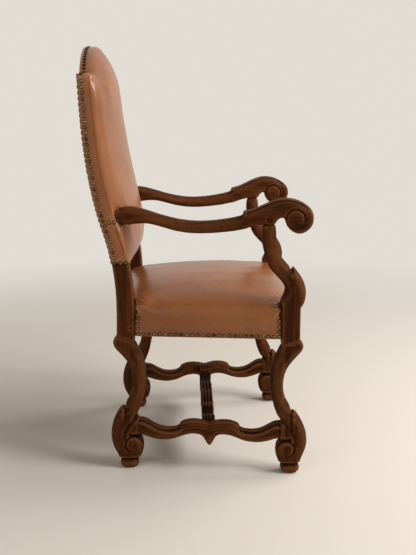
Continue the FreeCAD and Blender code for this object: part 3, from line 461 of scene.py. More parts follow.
def carve_leg(name, node, foot, ahead, notch, sweep, trim):
    """One left leg. ahead is -1 for a front leg and 1 for a rear one, and u runs outwards from the foot.
    sweep is how deep the crease between the scroll and the stretcher's seat is cut, and trim how much
    comes off the scroll's outer side at its middle and near the foot."""
    leg = joined_copy(name, node)
    bm = bmesh.new()
    bm.from_mesh(leg.data)
    collar = bmesh.ops.create_cube(bm, size=1)["verts"]
    size = Matrix.Diagonal((*COLLAR_SIZE, 1))
    middle = Vector((foot.x, foot.y - ahead * 22.5, STRETCHER_SEAT)) / 1000
    bmesh.ops.transform(bm, matrix=Matrix.Translation(middle) @ size, verts=collar)
    bm.to_mesh(leg.data)
    bm.free()
    even_skin(leg, CARVING_VOXEL)
    points = points_of(leg)
    u = ahead * (points[:, 1] - foot.y)
    across = points[:, 0] - foot.x
    points[:, 0] = foot.x + np.clip(across, -FOOT_HALF[1], FOOT_HALF[1])
    height = points[:, 2]
    shank = window(height, 168, 205, 328, 352)
    scroll = window(height, 30, 45, 150, 168)
    leaf = ramp(u, notch[0] - 1, notch[0] + 1) * window(height, 169, 175, 190, 205)
    points[:, 2] -= 0.55 * np.clip(height - LEAF_TIP, 0, 18) * leaf
    near_notch = np.exp(-((np.hypot(u - notch[0], height - 172) / 12) ** 2))
    seated = (1 - ramp(u, -20, -8)) * window(height, 92, 98, 146, 152)
    weight = np.clip(0.10 + 0.42 * shank + 0.30 * scroll - 0.16 * near_notch - 0.26 * seated, 0.06, 0.5)
    points = rasped(leg, points, weight, 90)

    height = points[:, 2]
    u = ahead * (points[:, 1] - foot.y)
    shave = np.interp(height, (28, 36, 48, 90, 165), (0.6 * trim[1], trim[1], trim[1], trim[0], 0))
    points[:, 1] -= ahead * shave * ramp(u, 6, 44) * ramp(height, 27, 31)
    u = ahead * (points[:, 1] - foot.y)
    across = points[:, 0] - foot.x
    girth = np.interp(height, *zip(*FOOT_PROFILE))
    low = 1 - ramp(height, 29, 34)
    wide, deep = np.abs(across) / FOOT_HALF[1], np.abs(u) / FOOT_HALF[0]
    corner = np.maximum(wide, deep) / np.maximum((wide ** 3.2 + deep ** 3.2) ** (1 / 3.2), 1e-6)
    squeeze = 1 + low * (girth * corner - 1)
    points[:, 0] = foot.x + across * squeeze
    points[:, 1] = foot.y + (points[:, 1] - foot.y) * squeeze
    move_points(leg, points)
    height = points[:, 2]
    fall = ROUND_FALL * window(height, 30, 48, 360, 364) * (1 - 0.75 * ramp(height, 330, 356))
    u = ahead * (points[:, 1] - foot.y)
    joint = (u < -18) & (np.abs(height - STRETCHER_SEAT) < 26)
    points = rounded_over(points, facing_of(leg), np.array((1, 0, 0)), foot.x, fall, 17, joint)
    points = rasped(leg, points, 0.4 * ramp(height, 30, 40), 3)
    move_points(leg, points)

    facing = facing_of(leg)
    u = ahead * (points[:, 1] - foot.y)
    height = points[:, 2]
    face = ramp(np.abs(facing[:, 0]), 0.35, 0.75)
    wind = spiral(u, height, LEG_VOLUTE, LEG_VOLUTE_RADII, LEG_VOLUTE_TURN, 2.4, 3.4)
    cut = wind * face * ramp(height, 30, 38)
    radius = np.hypot(u - LEG_VOLUTE[0], height - LEG_VOLUTE[1])
    cut -= 1.6 * np.clip(1 - (radius / 25) ** 2, 0, 1) * face
    top_of_eye, _ = off_segment(u, height, (LEG_VOLUTE[0] - 22, 93), (LEG_VOLUTE[0] + 8, 97))
    cut += groove(top_of_eye, 5, 4.6) * face
    for start, end, deep in LEG_CREASE:
        line, _ = off_segment(u, height, start, end)
        cut += groove(line, 4.8, sweep * deep) * face
    crease, share = off_segment(u, height, notch, (notch[0] + 3, 118))
    cut += groove(crease, 3.2, 1.5) * (1 - share) * face
    band = (u - notch[0] - 1.5 > 0) * window(height, 112, 150, 164, 170)
    cut -= 0.9 * band * groove(crease - 7, 6, 1) * face
    ridge, share = off_segment(u, height, (notch[0] - 22, 330), (notch[0] - 20, 190))
    cut -= groove(ridge, 9, 1.1) * ramp(share, 0, 0.2) * ramp(1 - share, 0, 0.3) * face
    curl = np.hypot(u - notch[0] - 7, height - LEAF_TIP)
    cut -= 1.8 * np.clip(1 - (curl / 7) ** 2, 0, 1) * face
    cut += groove(curl - 9, 1.8, 1.2) * (1 - ramp(height, 166, 174)) * face
    cut += tool_marks(points, 0.35, 16)
    points = points - facing * cut[:, None]
    points = rasped(leg, points, 0.4, 4)
    points[:, 2] = np.maximum(points[:, 2], 0)
    move_points(leg, points)
    return leg


front_leg_left = carve_leg(
    "front_leg_carved_left", "front_leg_left", front_foot, -1, (-0.5, 167), 1.0, (0, 4)
)
finish_wood(front_leg_left, walnut_upright, "front_leg_left")
other_side(front_leg_left, "front_leg_carved_right", walnut_upright, "front_leg_right")
rear_leg_left = carve_leg(
    "rear_leg_carved_left", "rear_leg_left", rear_foot, 1, (8.5, 167), 2.2, (4.5, 9)
)
finish_wood(rear_leg_left, walnut_upright, "rear_leg_left")
other_side(rear_leg_left, "rear_leg_carved_right", walnut_upright, "rear_leg_right")


# Front posts
# Each post is one walnut piece: a square block that takes the seat rails' tenons, and above it the
# curved, leaf-tipped support that carries the arm on a tenon.
POST_SHIFT = 4.5
SUPPORT_NOTCH = (1, 574)
BLOCK_TOP = 468

front_post_y = front_foot.y + POST_SHIFT
rear_post_y = rear_foot.y + POST_SHIFT
front_post_left = joined_copy("front_post_carved_left", "front_post_left")
even_skin(front_post_left, CARVING_VOXEL)
points = points_of(front_post_left)
u = front_post_y - points[:, 1]
height = points[:, 2]
leaf = ramp(u, SUPPORT_NOTCH[0] - 1, SUPPORT_NOTCH[0] + 1) * window(height, 573, 578, 600, 610)
points[:, 2] -= 0.55 * np.clip(height - 575, 0, 20) * leaf
near_notch = np.exp(-((np.hypot(u - SUPPORT_NOTCH[0], height - SUPPORT_NOTCH[1]) / 9) ** 2))
weight = np.clip(0.05 + 0.45 * ramp(height, BLOCK_TOP + 2, BLOCK_TOP + 30) - 0.12 * near_notch, 0.05, 0.5)
points = rasped(front_post_left, points, weight, 95)
move_points(front_post_left, points)
fall = 8 * ramp(points[:, 2], BLOCK_TOP + 6, BLOCK_TOP + 40) * (1 - 0.6 * ramp(points[:, 2], 660, 684))
points = rounded_over(points, facing_of(front_post_left), np.array((1, 0, 0)), front_foot.x, fall, 17)
points = rasped(front_post_left, points, 0.4 * ramp(points[:, 2], BLOCK_TOP, BLOCK_TOP + 10), 3)
move_points(front_post_left, points)
facing = facing_of(front_post_left)
u = front_post_y - points[:, 1]
height = points[:, 2]
face = ramp(np.abs(facing[:, 0]), 0.3, 0.7)
tip, share = off_segment(u, height, SUPPORT_NOTCH, (SUPPORT_NOTCH[0] + 7, 538))
cut = groove(tip, 2.6, 2.0) * (1 - share) * face
spine, share = off_segment(u, height, (-36, 560), (-70, 640))
cut -= groove(spine, 9, 1.0) * ramp(share, 0, 0.3) * ramp(1 - share, 0, 0.3) * face
cut += tool_marks(points, 0.35, 16)
points = rasped(front_post_left, points - facing * cut[:, None], 0.4, 2)
move_points(front_post_left, points)
finish_wood(front_post_left, walnut_upright, "front_post_left")
other_side(front_post_left, "front_post_carved_right", walnut_upright, "front_post_right")


# Rear posts
# Each post is one sawn walnut piece that runs from the leg's top to the shoulder of the back, planed
# flat where it shows and thinned where the leather covers it. The rails are tenoned into it.
COVERED_CUT = 4
COVERED_FROM = (604, 640)

rear_post_left = joined_copy("rear_post_planed_left", "rear_post_left")
even_skin(rear_post_left, 0.002)
points = rasped(rear_post_left, points_of(rear_post_left), 0.3, 5)
move_points(rear_post_left, points)
cut = tool_marks(points, 0.3, 22) + COVERED_CUT * ramp(points[:, 2], *COVERED_FROM)
points = points - facing_of(rear_post_left) * cut[:, None]
move_points(rear_post_left, points)
finish_wood(rear_post_left, walnut_upright, "rear_post_left")
other_side(rear_post_left, "rear_post_planed_right", walnut_upright, "rear_post_right")


# Stretchers
# Two wavy side stretchers are tenoned into the legs, and a fluted cross stretcher joins their middles.
# The sides have two reeded humps that meet over a small pendant; all three are carved walnut.
HUMP_ENDS = (-121, 48)
PENDANT_Y = -39
REEDS = (6.5, 12.5)
END_BEVEL = 11
FLUTE_PITCH = 9
FLUTE_ZONES = ((3, 103), (200, 260))

walnut_lengthwise = walnut("walnut_lengthwise", (1, 0.06, 1))
walnut_crosswise = walnut("walnut_crosswise", (0.06, 1, 1))


def below_top(points, along):
    """How far each point lies below the top edge at its place along the piece."""
    cells = np.round((along - along.min()) / 2).astype(int)
    tops = np.full(cells.max() + 1, -1e9)
    np.maximum.at(tops, cells, points[:, 2])
    known = tops > -1e8
    middles = along.min() + 2 * np.arange(len(tops))
    return np.interp(along, middles[known], tops[known]) - points[:, 2]


side_stretcher_left = joined_copy("side_stretcher_carved_left", "side_stretcher_left")
even_skin(side_stretcher_left, CARVING_VOXEL)
points = points_of(side_stretcher_left)
halfway = 0.5 * (front_foot.y + rear_foot.y)
mortised = ramp(np.abs(points[:, 1] - halfway), 192, 200)
points = rasped(side_stretcher_left, points, 0.42 - 0.38 * mortised, 60)
pendant = np.exp(-(((points[:, 1] - PENDANT_Y) / 15) ** 2)) * (1 - ramp(points[:, 2], 90, 104))
points[:, 2] -= 9 * pendant
points = rasped(side_stretcher_left, points, 0.5 * pendant, 34)
move_points(side_stretcher_left, points)
toe_in = math.atan2(front_foot.x - rear_foot.x, rear_foot.y - front_foot.y)
side = np.array((math.cos(toe_in), math.sin(toe_in), 0))
middle = np.array((rear_foot.x, rear_post_y, 0)) @ side
fall = 6 * (1 - ramp(np.abs(points[:, 1] - halfway), 186, 198))
points = rounded_over(points, facing_of(side_stretcher_left), side, middle, fall, 14)
points = rasped(side_stretcher_left, points, 0.4 * (1 - mortised), 3)
move_points(side_stretcher_left, points)
facing = facing_of(side_stretcher_left)
face = ramp(np.abs(facing @ side), 0.25, 0.7) * (1 - mortised)
lower = below_top(points, points[:, 1])
hump = window(points[:, 1], HUMP_ENDS[0], HUMP_ENDS[0] + 3, HUMP_ENDS[1] - 3, HUMP_ENDS[1])
cut = sum(groove(lower - reed, 1.9, 1.7) for reed in REEDS) * hump * face
cut += 0.42 * np.clip(END_BEVEL - lower, 0, 9) * (1 - hump) * face
for end in HUMP_ENDS:
    line, share = off_segment(points[:, 1], lower, (end, 0), (end, 16))
    cut += groove(line, 2.4, 2.4) * (1 - share) * np.maximum(face, 0.3)
cut += tool_marks(points, 0.4, 15)
points = rasped(side_stretcher_left, points - facing * cut[:, None], 0.4, 2)
move_points(side_stretcher_left, points)
finish_wood(side_stretcher_left, walnut_lengthwise, "side_stretcher_left")
other_side(side_stretcher_left, "side_stretcher_carved_right", walnut_lengthwise, "side_stretcher_right")

cross_stretcher = joined_copy("cross_stretcher_carved", "cross_stretcher")
even_skin(cross_stretcher, CARVING_VOXEL)
points = points_of(cross_stretcher)
points = rasped(cross_stretcher, points, 0.4, 36)
move_points(cross_stretcher, points)
facing = facing_of(cross_stretcher)
cross_low, cross_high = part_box("cross_stretcher")
over = points[:, 1] - 500 * (cross_low.y + cross_high.y)
valley = 0.5 + 0.5 * np.cos(2 * math.pi * over / FLUTE_PITCH)
lower = below_top(points, points[:, 0])
upper = ramp(facing[:, 2], 0.05, 0.5) + 0.7 * ramp(26 - lower, 0, 14) * ramp(np.abs(facing[:, 1]), 0.5, 0.9)
out_along = np.abs(points[:, 0]) + 7 * valley
fluted = sum(window(out_along, near, near + 6, far - 1, far + 3) for near, far in FLUTE_ZONES)
top = np.clip(upper, 0, 1)
bare = window(out_along, 105, 113, 190, 200)
cut = 3.6 * valley * top * fluted + 4.0 * bare * top
lips = sum(groove(out_along - lip, 3.5, 1) for lip in (8, 101, 204)) * top
cut -= 1.4 * lips
cut += tool_marks(points, 0.35, 12)
points = rasped(cross_stretcher, points - facing * cut[:, None], 0.35, 1)
move_points(cross_stretcher, points)
# stain paints shade into the bare hollows and flute valleys, along with dark stain there; the lips get
# lighter wear.
stain = (0.9 * bare + 0.9 * valley * fluted + 0.45) * (1 - ramp(lips, 0.25, 0.8)) - 0.5 * lips
finish_wood(cross_stretcher, walnut_crosswise, "cross_stretcher", stain=stain)


# Seat and back frame
# Plain walnut rails are tenoned into the posts: four round the seat, with a glued block in each corner,
# and two in the back. The leather hides all but their undersides and the ends of the joints' pegs.
for node, wood in (
    ("front_seat_rail", walnut_crosswise),
    ("rear_seat_rail", walnut_crosswise),
    ("side_seat_rail_left", walnut_lengthwise),
    ("side_seat_rail_right", walnut_lengthwise),
    ("corner_blocks", walnut_upright),
    ("joint_pegs", walnut_crosswise),
    ("crest_rail", walnut_crosswise),
    ("lower_back_rail", walnut_crosswise),
):
    frame["nodes"][node].material_slots[0].material = wood


# Armrests
# Each arm is carved from one curved walnut length: a rounded shaft, a notch, and a scrolled hand with a
# spiral on both faces. It is tenoned into the rear post and sits on the support's tenon.
HAND_EYE = (-256.5, 704)
ARM_STEP = -125
HAND_EDGE = ((127.5, 708), (149.5, 717), (178.5, 729), (207.5, 740), (235.5, 744), (263.5, 738), (283.5, 726))
ARM_SWING = math.radians(6.66)

armrest_left = joined_copy("armrest_carved_left", "armrest_left")
even_skin(armrest_left, CARVING_VOXEL)
points = points_of(armrest_left)
shaft = window(points[:, 1], ARM_STEP - 2, ARM_STEP + 12, 196, 206)
hand = 1 - ramp(points[:, 1], ARM_STEP - 14, ARM_STEP - 4)
weight = 0.06 + 0.42 * shaft + 0.2 * hand
points = rasped(armrest_left, points, weight, 95)
move_points(armrest_left, points)
side = np.array((math.cos(ARM_SWING), math.sin(ARM_SWING), 0))
middle = np.median(points[hand > 0.5] @ side)
fall = 3 + 4.5 * shaft
points = rounded_over(points, facing_of(armrest_left), side, middle, fall, 15)
points = rasped(armrest_left, points, 0.4 * np.maximum(shaft, hand), 3)
move_points(armrest_left, points)
facing = facing_of(armrest_left)
face = ramp(np.abs(facing @ side), 0.3, 0.7)
u = HAND_EYE[0] - points[:, 1]
height = points[:, 2]
cut = spiral(u, height, (0, HAND_EYE[1]), (25.5, 23.5), (188, -48), 2.2, 2.8) * face
radius = np.hypot(u, height - HAND_EYE[1])
cut -= 1.4 * np.clip(1 - (radius / 24) ** 2, 0, 1) * face
forward = -points[:, 1]
edge = np.interp(forward, *zip(*HAND_EDGE))
in_hand = window(forward, HAND_EDGE[0][0], HAND_EDGE[0][0] + 5, HAND_EDGE[-1][0], HAND_EDGE[-1][0] + 14)
cut += 0.34 * np.clip(height - edge, 0, 10) * in_hand * face
cut += groove(height - edge, 2.0, 0.7) * in_hand * face
spine, _ = off_segment(points[:, 1], height, (160, 706), (40, 682))
cut -= groove(spine, 9, 0.8) * face
cut += tool_marks(points, 0.35, 17)
points = rasped(armrest_left, points - facing * cut[:, None], 0.4, 2)
move_points(armrest_left, points)
finish_wood(armrest_left, walnut_lengthwise, "armrest_left")
other_side(armrest_left, "armrest_carved_right", walnut_lengthwise, "armrest_right")


# Webbing and hessian
# Jute straps are stretched both ways under the seat and across the back, with a hessian sheet over
# them. Both are plain weaves, tacked to the rails, and show only from below.
WEBBING = (0.0022, (0.15, 0.10, 0.055, 1), (0.46, 0.36, 0.23, 1))
SACKING = (0.0014, (0.10, 0.065, 0.032, 1), (0.38, 0.28, 0.16, 1))


def woven(name, over, pitch, dark, pale):
    """A plain weave whose threads run along X and along the axis over, pitch apart."""
    made, tree, shader = new_material(name)
    shader.inputs["Specular IOR Level"].default_value = 0.2
    place = tree.nodes.new("ShaderNodeTexCoord")
    heights = []
    for axis in ("X", over):
        thread = tree.nodes.new("ShaderNodeTexWave")
        thread.wave_type = "BANDS"
        thread.bands_direction = axis
        thread.inputs["Scale"].default_value = 0.314 / pitch
        thread.inputs["Distortion"].default_value = 1.2
        thread.inputs["Detail"].default_value = 2
        thread.inputs["Detail Scale"].default_value = 0.6
        tree.links.new(place.outputs["Object"], thread.inputs["Vector"])
        heights.append(thread.outputs["Fac"])
    crossing = maths(tree, "MAXIMUM", *heights)
    slub = clouds(tree, place.outputs["Object"], 210, 4)
    colour = colour_ramp(tree, maths(tree, "MULTIPLY", crossing, slub), (0.12, dark), (0.62, pale))
    tree.links.new(colour, shader.inputs["Base Color"])
    tree.links.new(spread(tree, slub, 0, 1, 0.95, 0.78), shader.inputs["Roughness"])
    bumped(tree, crossing, 0.6, 0.0006)
    return made


seat_webbing = woven("seat_webbing", "Y", *WEBBING)
back_webbing = woven("back_webbing", "Z", *WEBBING)
seat_sacking = woven("seat_sacking", "Y", *SACKING)
back_sacking = woven("back_sacking", "Z", *SACKING)
for node, cloth in (
    ("seat_straps_long", seat_webbing),
    ("seat_straps_cross", seat_webbing),
    ("seat_hessian", seat_sacking),
    ("back_straps", back_webbing),
    ("back_hessian", back_sacking),
):
    frame["nodes"][node].material_slots[0].material = cloth


# Leather seat
# One tan hide is drawn over a crowned pad of stuffing, cut round the posts, turned down over the rails
# and nailed along their lower edge. It swells a little above the rails and tucks in beside each post.
PAD_VOXEL = 0.006
HIDE = 0.002
POST_GAP = 0.0015
SEAT_SWELL = (4, 7)
BLANK_TOP = 520
PAD_WAIST = 436
PAD_FLOOR = 465
PAD_EDGE = 467
PAD_CROWN = 41
DOME_REACH = (290, 235, 245)
PLUMP = 9
PLUMP_SPAN = (392, 470)
TUCK_DEPTH = 9
NAIL_DIMPLE = 1.1
DIMPLE_WIDTH = 6.5
SEAT_NAILS = ("seat_nails_left", "seat_nails_right", "seat_nails_front", "seat_nails_rear")
SEAT_TRIM = 0.006
BLOCK_HALF = 0.024
HIDE_TONES = (
    (0.28, (0.215, 0.063, 0.0125, 1)), (0.5, (0.268, 0.083, 0.0175, 1)), (0.74, (0.315, 0.105, 0.025, 1)),
)
RUBBED_HIDE = (0.42, 0.170, 0.058, 1)
# Dark colour painted into the hide's creases and hollows as shade.
CREASE_SHADE_HIDE = (0.125, 0.034, 0.0075, 1)
SEWN_HIDE = (0.075, 0.022, 0.008, 1)


def leather(name):
    """Tan hide with pebbled grain, cloudy dye, pale rubbed ridges, painted shade in its creases and hollows,
    and a sewn seam.
    """
    made, tree, shader = new_material(name)
    shader.inputs["Specular IOR Level"].default_value = 0.45
    place = tree.nodes.new("ShaderNodeTexCoord")
    relief = stored(tree, "relief")
    # crease is painted shade: the hide darkens where it lies in creases and hollows.
    crease = spread(tree, relief, 0.12, 0.9, 0, 0.62)
    wear = spread(tree, relief, -0.1, -0.9, 0, 0.5)
    seam_line = spread(tree, stored(tree, "seam"), 98.2, 99.6, 0, 0.5)
    lines = clouds(tree, place.outputs["Object"], 85, 6, distortion=0.4)
    colour = colour_ramp(tree, clouds(tree, place.outputs["Object"], 7, 7, 0.62), *HIDE_TONES)
    colour = tinted(tree, colour, RUBBED_HIDE, wear)
    colour = tinted(tree, colour, CREASE_SHADE_HIDE, crease)
    colour = tinted(tree, colour, SEWN_HIDE, seam_line)
    aged = tree.nodes.new("ShaderNodeMix")
    aged.data_type = "RGBA"
    aged.blend_type = "MULTIPLY"
    aged.inputs["Factor"].default_value = 1
    tree.links.new(colour, aged.inputs["A"])
    tree.links.new(spread(tree, lines, 0, 0.7, 0.96, 1.04), aged.inputs["B"])
    tree.links.new(aged.outputs["Result"], shader.inputs["Base Color"])

    gloss = spread(tree, lines, 0.3, 0.7, 0.27, 0.31)
    tree.links.new(maths(tree, "MULTIPLY_ADD", crease, 0.5, gloss), shader.inputs["Roughness"])
    pebbles = tree.nodes.new("ShaderNodeTexVoronoi")
    pebbles.inputs["Scale"].default_value = 620
    tree.links.new(place.outputs["Object"], pebbles.inputs["Vector"])
    bumped(tree, maths(tree, "MULTIPLY_ADD", pebbles.outputs["Distance"], 0.35, lines), 0.05, 0.0006)
    return made


tan_leather = leather("tan_leather")


def nail_seats(node):
    """The middle of each nail's flat base and the direction that its dome faces."""
    bm = bmesh.new()
    bm.from_mesh(frame["nodes"][node].data)
    bmesh.ops.remove_doubles(bm, verts=bm.verts, dist=1e-6)
    seats, done = [], set()
    for first in bm.faces:
        if first.index in done:
            continue
        done.add(first.index)
        nail, open_faces = [], [first]
        while open_faces:
            face = open_faces.pop()
            nail.append(face)
            for edge in face.edges:
                for near in edge.link_faces:
                    if near.index not in done:
                        done.add(near.index)
                        open_faces.append(near)
        flats = {}
        for face in nail:
            key = tuple(round(n, 1) for n in face.normal)
            flats.setdefault(key, []).append(face)
        base = max(flats.values(), key=lambda faces: sum(f.calc_area() for f in faces))
        area = sum(f.calc_area() for f in base)
        middle = sum((f.calc_center_median() * f.calc_area() for f in base), Vector()) / area
        out = -sum((f.normal * f.calc_area() for f in base), Vector()).normalized()
        seats.append((middle, out))
    bm.free()
    return seats


def dimples(points, rows):
    """How far the nails of these rows draw the hide in at each point."""
    drawn_in = np.zeros(len(points))
    for row in rows:
        for middle, _ in nail_seats(row):
            away = np.linalg.norm(points - np.array(middle) * 1000, axis=1)
            drawn_in += groove(away, DIMPLE_WIDTH, NAIL_DIMPLE)
    return drawn_in


def swollen(piece, held, limit, frames=20):
    """Blows the piece up gently as cloth, holding some points. limit caps each point's travel, in
    millimetres along each axis."""
    pins = piece.vertex_groups.new(name="held")
    for weight in (0.25, 0.5, 0.75, 1.0):
        chosen = np.nonzero((held > weight - 0.25) & (held <= weight))[0]
        pins.add([int(i) for i in chosen], weight, "REPLACE")
    before = points_of(piece)
    cloth = piece.modifiers.new("cloth", "CLOTH")
    cloth.settings.use_pressure = True
    cloth.settings.uniform_pressure_force = 4
    cloth.settings.vertex_group_mass = "held"
    cloth.settings.effector_weights.gravity = 0
    cloth.point_cache.frame_start = 1
    cloth.point_cache.frame_end = frames
    for step in range(1, frames + 1):
        scene.frame_set(step)
    graph = bpy.context.evaluated_depsgraph_get()
    blown = piece.evaluated_get(graph).to_mesh()
    flat = np.empty(len(blown.vertices) * 3)
    blown.vertices.foreach_get("co", flat)
    travel = flat.reshape(-1, 3) * 1000 - before
    piece.evaluated_get(graph).to_mesh_clear()
    piece.modifiers.clear()
    piece.vertex_groups.clear()
    scene.frame_set(1)
    size = np.linalg.norm(travel / limit, axis=1)
    travel = travel / np.maximum(size, 1)[:, None]
    points = rasped(piece, before + travel, 0.4 * (1 - held), 4)
    move_points(piece, points)


def one_subdivision(piece):
    """Splits each face in four and smooths the skin."""
    finer = piece.modifiers.new("finer", "SUBSURF")
    finer.levels = finer.render_levels = 1
    take_shape(piece)


seat_low, seat_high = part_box("seat_leather")
block_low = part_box("front_post_left")[0]
post_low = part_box("rear_post_left")[0]
block_y = front_post_y / 1000
block_back = block_y + BLOCK_HALF + POST_GAP
post_front = post_low.y - POST_GAP
front_x = front_foot.x / 1000
taper = (rear_foot.x - front_foot.x) / (rear_foot.y - front_foot.y)
overhang = seat_high.x - (front_x + (block_back - block_y) * taper)


def side_edge(y):
    """How far out the seat's side stands at y."""
    return front_x + (y - block_y) * taper + overhang


half_plan = (
    (block_low.x - POST_GAP, seat_low.y),
    (block_low.x - POST_GAP, block_back),
    (side_edge(block_back), block_back),
    (side_edge(post_front), post_front),
    (post_low.x - POST_GAP, post_front),
    (post_low.x - POST_GAP, seat_high.y),
)
bm = bmesh.new()
plan = [bm.verts.new((x, y, seat_low.z - SEAT_TRIM)) for x, y in half_plan]
plan += [bm.verts.new((-x, y, seat_low.z - SEAT_TRIM)) for x, y in reversed(half_plan)]
base = bm.faces.new(plan)
rise = bmesh.ops.extrude_face_region(bm, geom=[base], use_keep_orig=True)
lifted = [v for v in rise["geom"] if isinstance(v, bmesh.types.BMVert)]
bmesh.ops.translate(bm, vec=(0, 0, BLANK_TOP / 1000 - seat_low.z + SEAT_TRIM), verts=lifted)
bmesh.ops.recalc_face_normals(bm, faces=bm.faces)
seat_cover = new_piece("seat_cover", bm)
even_skin(seat_cover, PAD_VOXEL)

points = points_of(seat_cover)
height = points[:, 2]
from_side = 1000 * side_edge(points[:, 1] / 1000) - np.abs(points[:, 0])
from_front = points[:, 1] - 1000 * seat_low.y
from_rear = 1000 * seat_high.y - points[:, 1]
dome = 1
for away, reach in zip((from_side, from_front, from_rear), DOME_REACH):
    dome = dome * np.sqrt(1 - (1 - np.clip(away / reach, 0, 1)) ** 2)
top = PAD_EDGE + PAD_CROWN * dome
squashed = PAD_WAIST + (height - PAD_WAIST) * (top - PAD_WAIST) / (BLANK_TOP - PAD_WAIST)
points[:, 2] = np.where(height > PAD_WAIST, squashed, height)
corners = [(side * 1000 * x, 1000 * y) for side in (1, -1) for x, y in half_plan[1:5]]
to_post = np.min([np.hypot(points[:, 0] - x, points[:, 1] - y) for x, y in corners], axis=0)
share = np.clip((points[:, 2] - PLUMP_SPAN[0]) / (PLUMP_SPAN[1] - PLUMP_SPAN[0]), 0, 1)
bulge = PLUMP * np.sin(math.pi * share) * ramp(to_post, 6, 60)
points[:, 0] += np.sign(points[:, 0]) * bulge * (1 - ramp(from_side, 4, 24))
points[:, 1] -= bulge * ((1 - ramp(from_front, 4, 24)) - (1 - ramp(from_rear, 4, 24)))
easing = 0.5 * ramp(points[:, 2], PAD_WAIST - 16, PAD_EDGE - 12) * (0.12 + 0.88 * ramp(to_post, 12, 70))
points = rasped(seat_cover, points, easing, 64)
held = np.maximum(1 - ramp(points[:, 2], 402, 424), 1 - ramp(to_post, 6, 24))
move_points(seat_cover, points)
swollen(seat_cover, held, np.array([SEAT_SWELL[0], SEAT_SWELL[0], SEAT_SWELL[1]]))
one_subdivision(seat_cover)

points = points_of(seat_cover)
facing = facing_of(seat_cover)
move = 1.0 * np.array([noise.noise(Vector(p) / 62) for p in points]) * ramp(points[:, 2], 402, 440)
upward = ramp(facing[:, 2], 0.2, 0.6)
for side in (1, -1):
    for corner, aim in ((half_plan[2], 1), (half_plan[3], -1)):
        dx = (points[:, 0] - side * 1000 * corner[0]) * side
        dy = (points[:, 1] - 1000 * corner[1]) * aim
        away = np.hypot(dx, dy)
        lowered = points[:, 2] - TUCK_DEPTH * np.exp(-((away / 20) ** 2))
        points[:, 2] = np.where(points[:, 2] > PAD_FLOOR, np.maximum(lowered, PAD_FLOOR), points[:, 2])
        fan = np.arctan2(points[:, 2] - PAD_EDGE, np.abs(dy) + 4)
        move += 1.3 * np.cos(9 * fan + 0.6) * np.exp(-((away / 24) ** 2)) * ramp(points[:, 2], 424, 452)
    for corner in (half_plan[1], half_plan[4]):
        dx = points[:, 0] * side - 1000 * corner[0]
        dy = points[:, 1] - 1000 * corner[1]
        pucker = np.exp(-(((np.hypot(dx, dy) - 20) / 18) ** 2)) * upward
        move += 0.8 * np.cos(13 * np.arctan2(dy, dx) + 0.9) * pucker
move -= dimples(points, SEAT_NAILS)
move_points(seat_cover, points + facing * move[:, None])

bm = bmesh.new()
bm.from_mesh(seat_cover.data)
whole = bm.verts[:] + bm.edges[:] + bm.faces[:]
bmesh.ops.bisect_plane(bm, geom=whole, plane_co=(0, 0, seat_low.z), plane_no=(0, 0, -1), clear_outer=True)
bm.to_mesh(seat_cover.data)
bm.free()
mark_relief(seat_cover, 8)
seat_cover.data.materials.append(tan_leather)
seat_cover.data.shade_smooth()
wall = seat_cover.modifiers.new("hide", "SOLIDIFY")
wall.thickness = HIDE
wall.offset = -1
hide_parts("seat_leather", "seat_stuffing")
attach(seat_cover, "root")


# Leather back
# The back is stuffed between the rear posts and covered with tan hide: a full front panel, a border
# carried round the sides and over the arch, and a flat outside panel, all nailed along their edges.
BACK_DEPTH = 0.044
BACK_SWELL = 12
SHOULDER = 1066
ARRIS_FULL = 2.4
HESSIAN_CORNER = (254, 264, 1062)
CORNER_FULL = 2.6
BACK_NAILS = ("back_nails_left", "back_nails_right", "crest_nails", "outside_back_nails")
SEAM_DEPTH = ((700, 41), (1060, 31))
BACK_TRIM = ((575, 2), (600, 8), (645, 8), (700, 0), (1030, 0), (1060, 5), (1085, 11), (1110, 17), (1145, 19))
BACK_ROLL = ((575, 0), (600, 0.12), (650, 0.4), (720, 0.5), (980, 0.3), (1060, 0.08))
PULL_FOLDS = (
    ((47, 678), (46, 604), 4.5, 1.6), ((36, 680), (43, 608), 4.5, -0.9), ((61, 682), (50, 602), 5.5, -2.0),
)

bm = bmesh.new()
bm.from_mesh(frame["nodes"]["outside_back"].data)
bmesh.ops.remove_doubles(bm, verts=bm.verts, dist=1e-5)
bmesh.ops.delete(bm, geom=[f for f in bm.faces if f.normal.y < 0.5], context="FACES")
slab = new_piece("back_slab", bm)
thick = slab.modifiers.new("thick", "SOLIDIFY")
thick.thickness = BACK_DEPTH
thick.offset = -1
take_shape(slab)
bm = bmesh.new()
bm.from_mesh(slab.data)
for node in ("back_stuffing", "back_border", "back_leather"):
    bm.from_mesh(frame["nodes"][node].data)
bmesh.ops.remove_doubles(bm, verts=bm.verts, dist=1e-5)
bpy.data.objects.remove(slab)
back_cover = new_piece("back_cover", bm)
even_skin(back_cover, PAD_VOXEL)

bm = bmesh.new()
bm.from_mesh(back_cover.data)
bm.verts.ensure_lookup_table()
outer, open_verts = set(), [max(bm.verts, key=lambda v: v.co.z)]
while open_verts:
    vert = open_verts.pop()
    if vert.index not in outer:
        outer.add(vert.index)
        open_verts.extend(edge.other_vert(vert) for edge in vert.link_edges)
bmesh.ops.delete(bm, geom=[v for v in bm.verts if v.index not in outer], context="VERTS")
bm.to_mesh(back_cover.data)
bm.free()


def from_border(piece, points):
    """How far each point of the front panel is from the panel's border, and 0 at other points."""
    front = facing_of(piece)[:, 1] < -0.55
    border = KDTree(int((~front).sum()))
    for i, p in enumerate(points[~front]):
        border.insert(p, i)
    border.balance()
    away = np.zeros(len(points))
    away[front] = [border.find(p)[2] for p in points[front]]
    return away


def depth_of(points):
    """How far each point lies in front of the back's rear face at its height."""
    levels = np.arange(points[:, 2].min() + 4, points[:, 2].max() - 4, 8)
    rear = [points[np.abs(points[:, 2] - level) < 5, 1].max() for level in levels]
    return np.polyval(np.polyfit(levels, rear, 5), points[:, 2]) - points[:, 1]


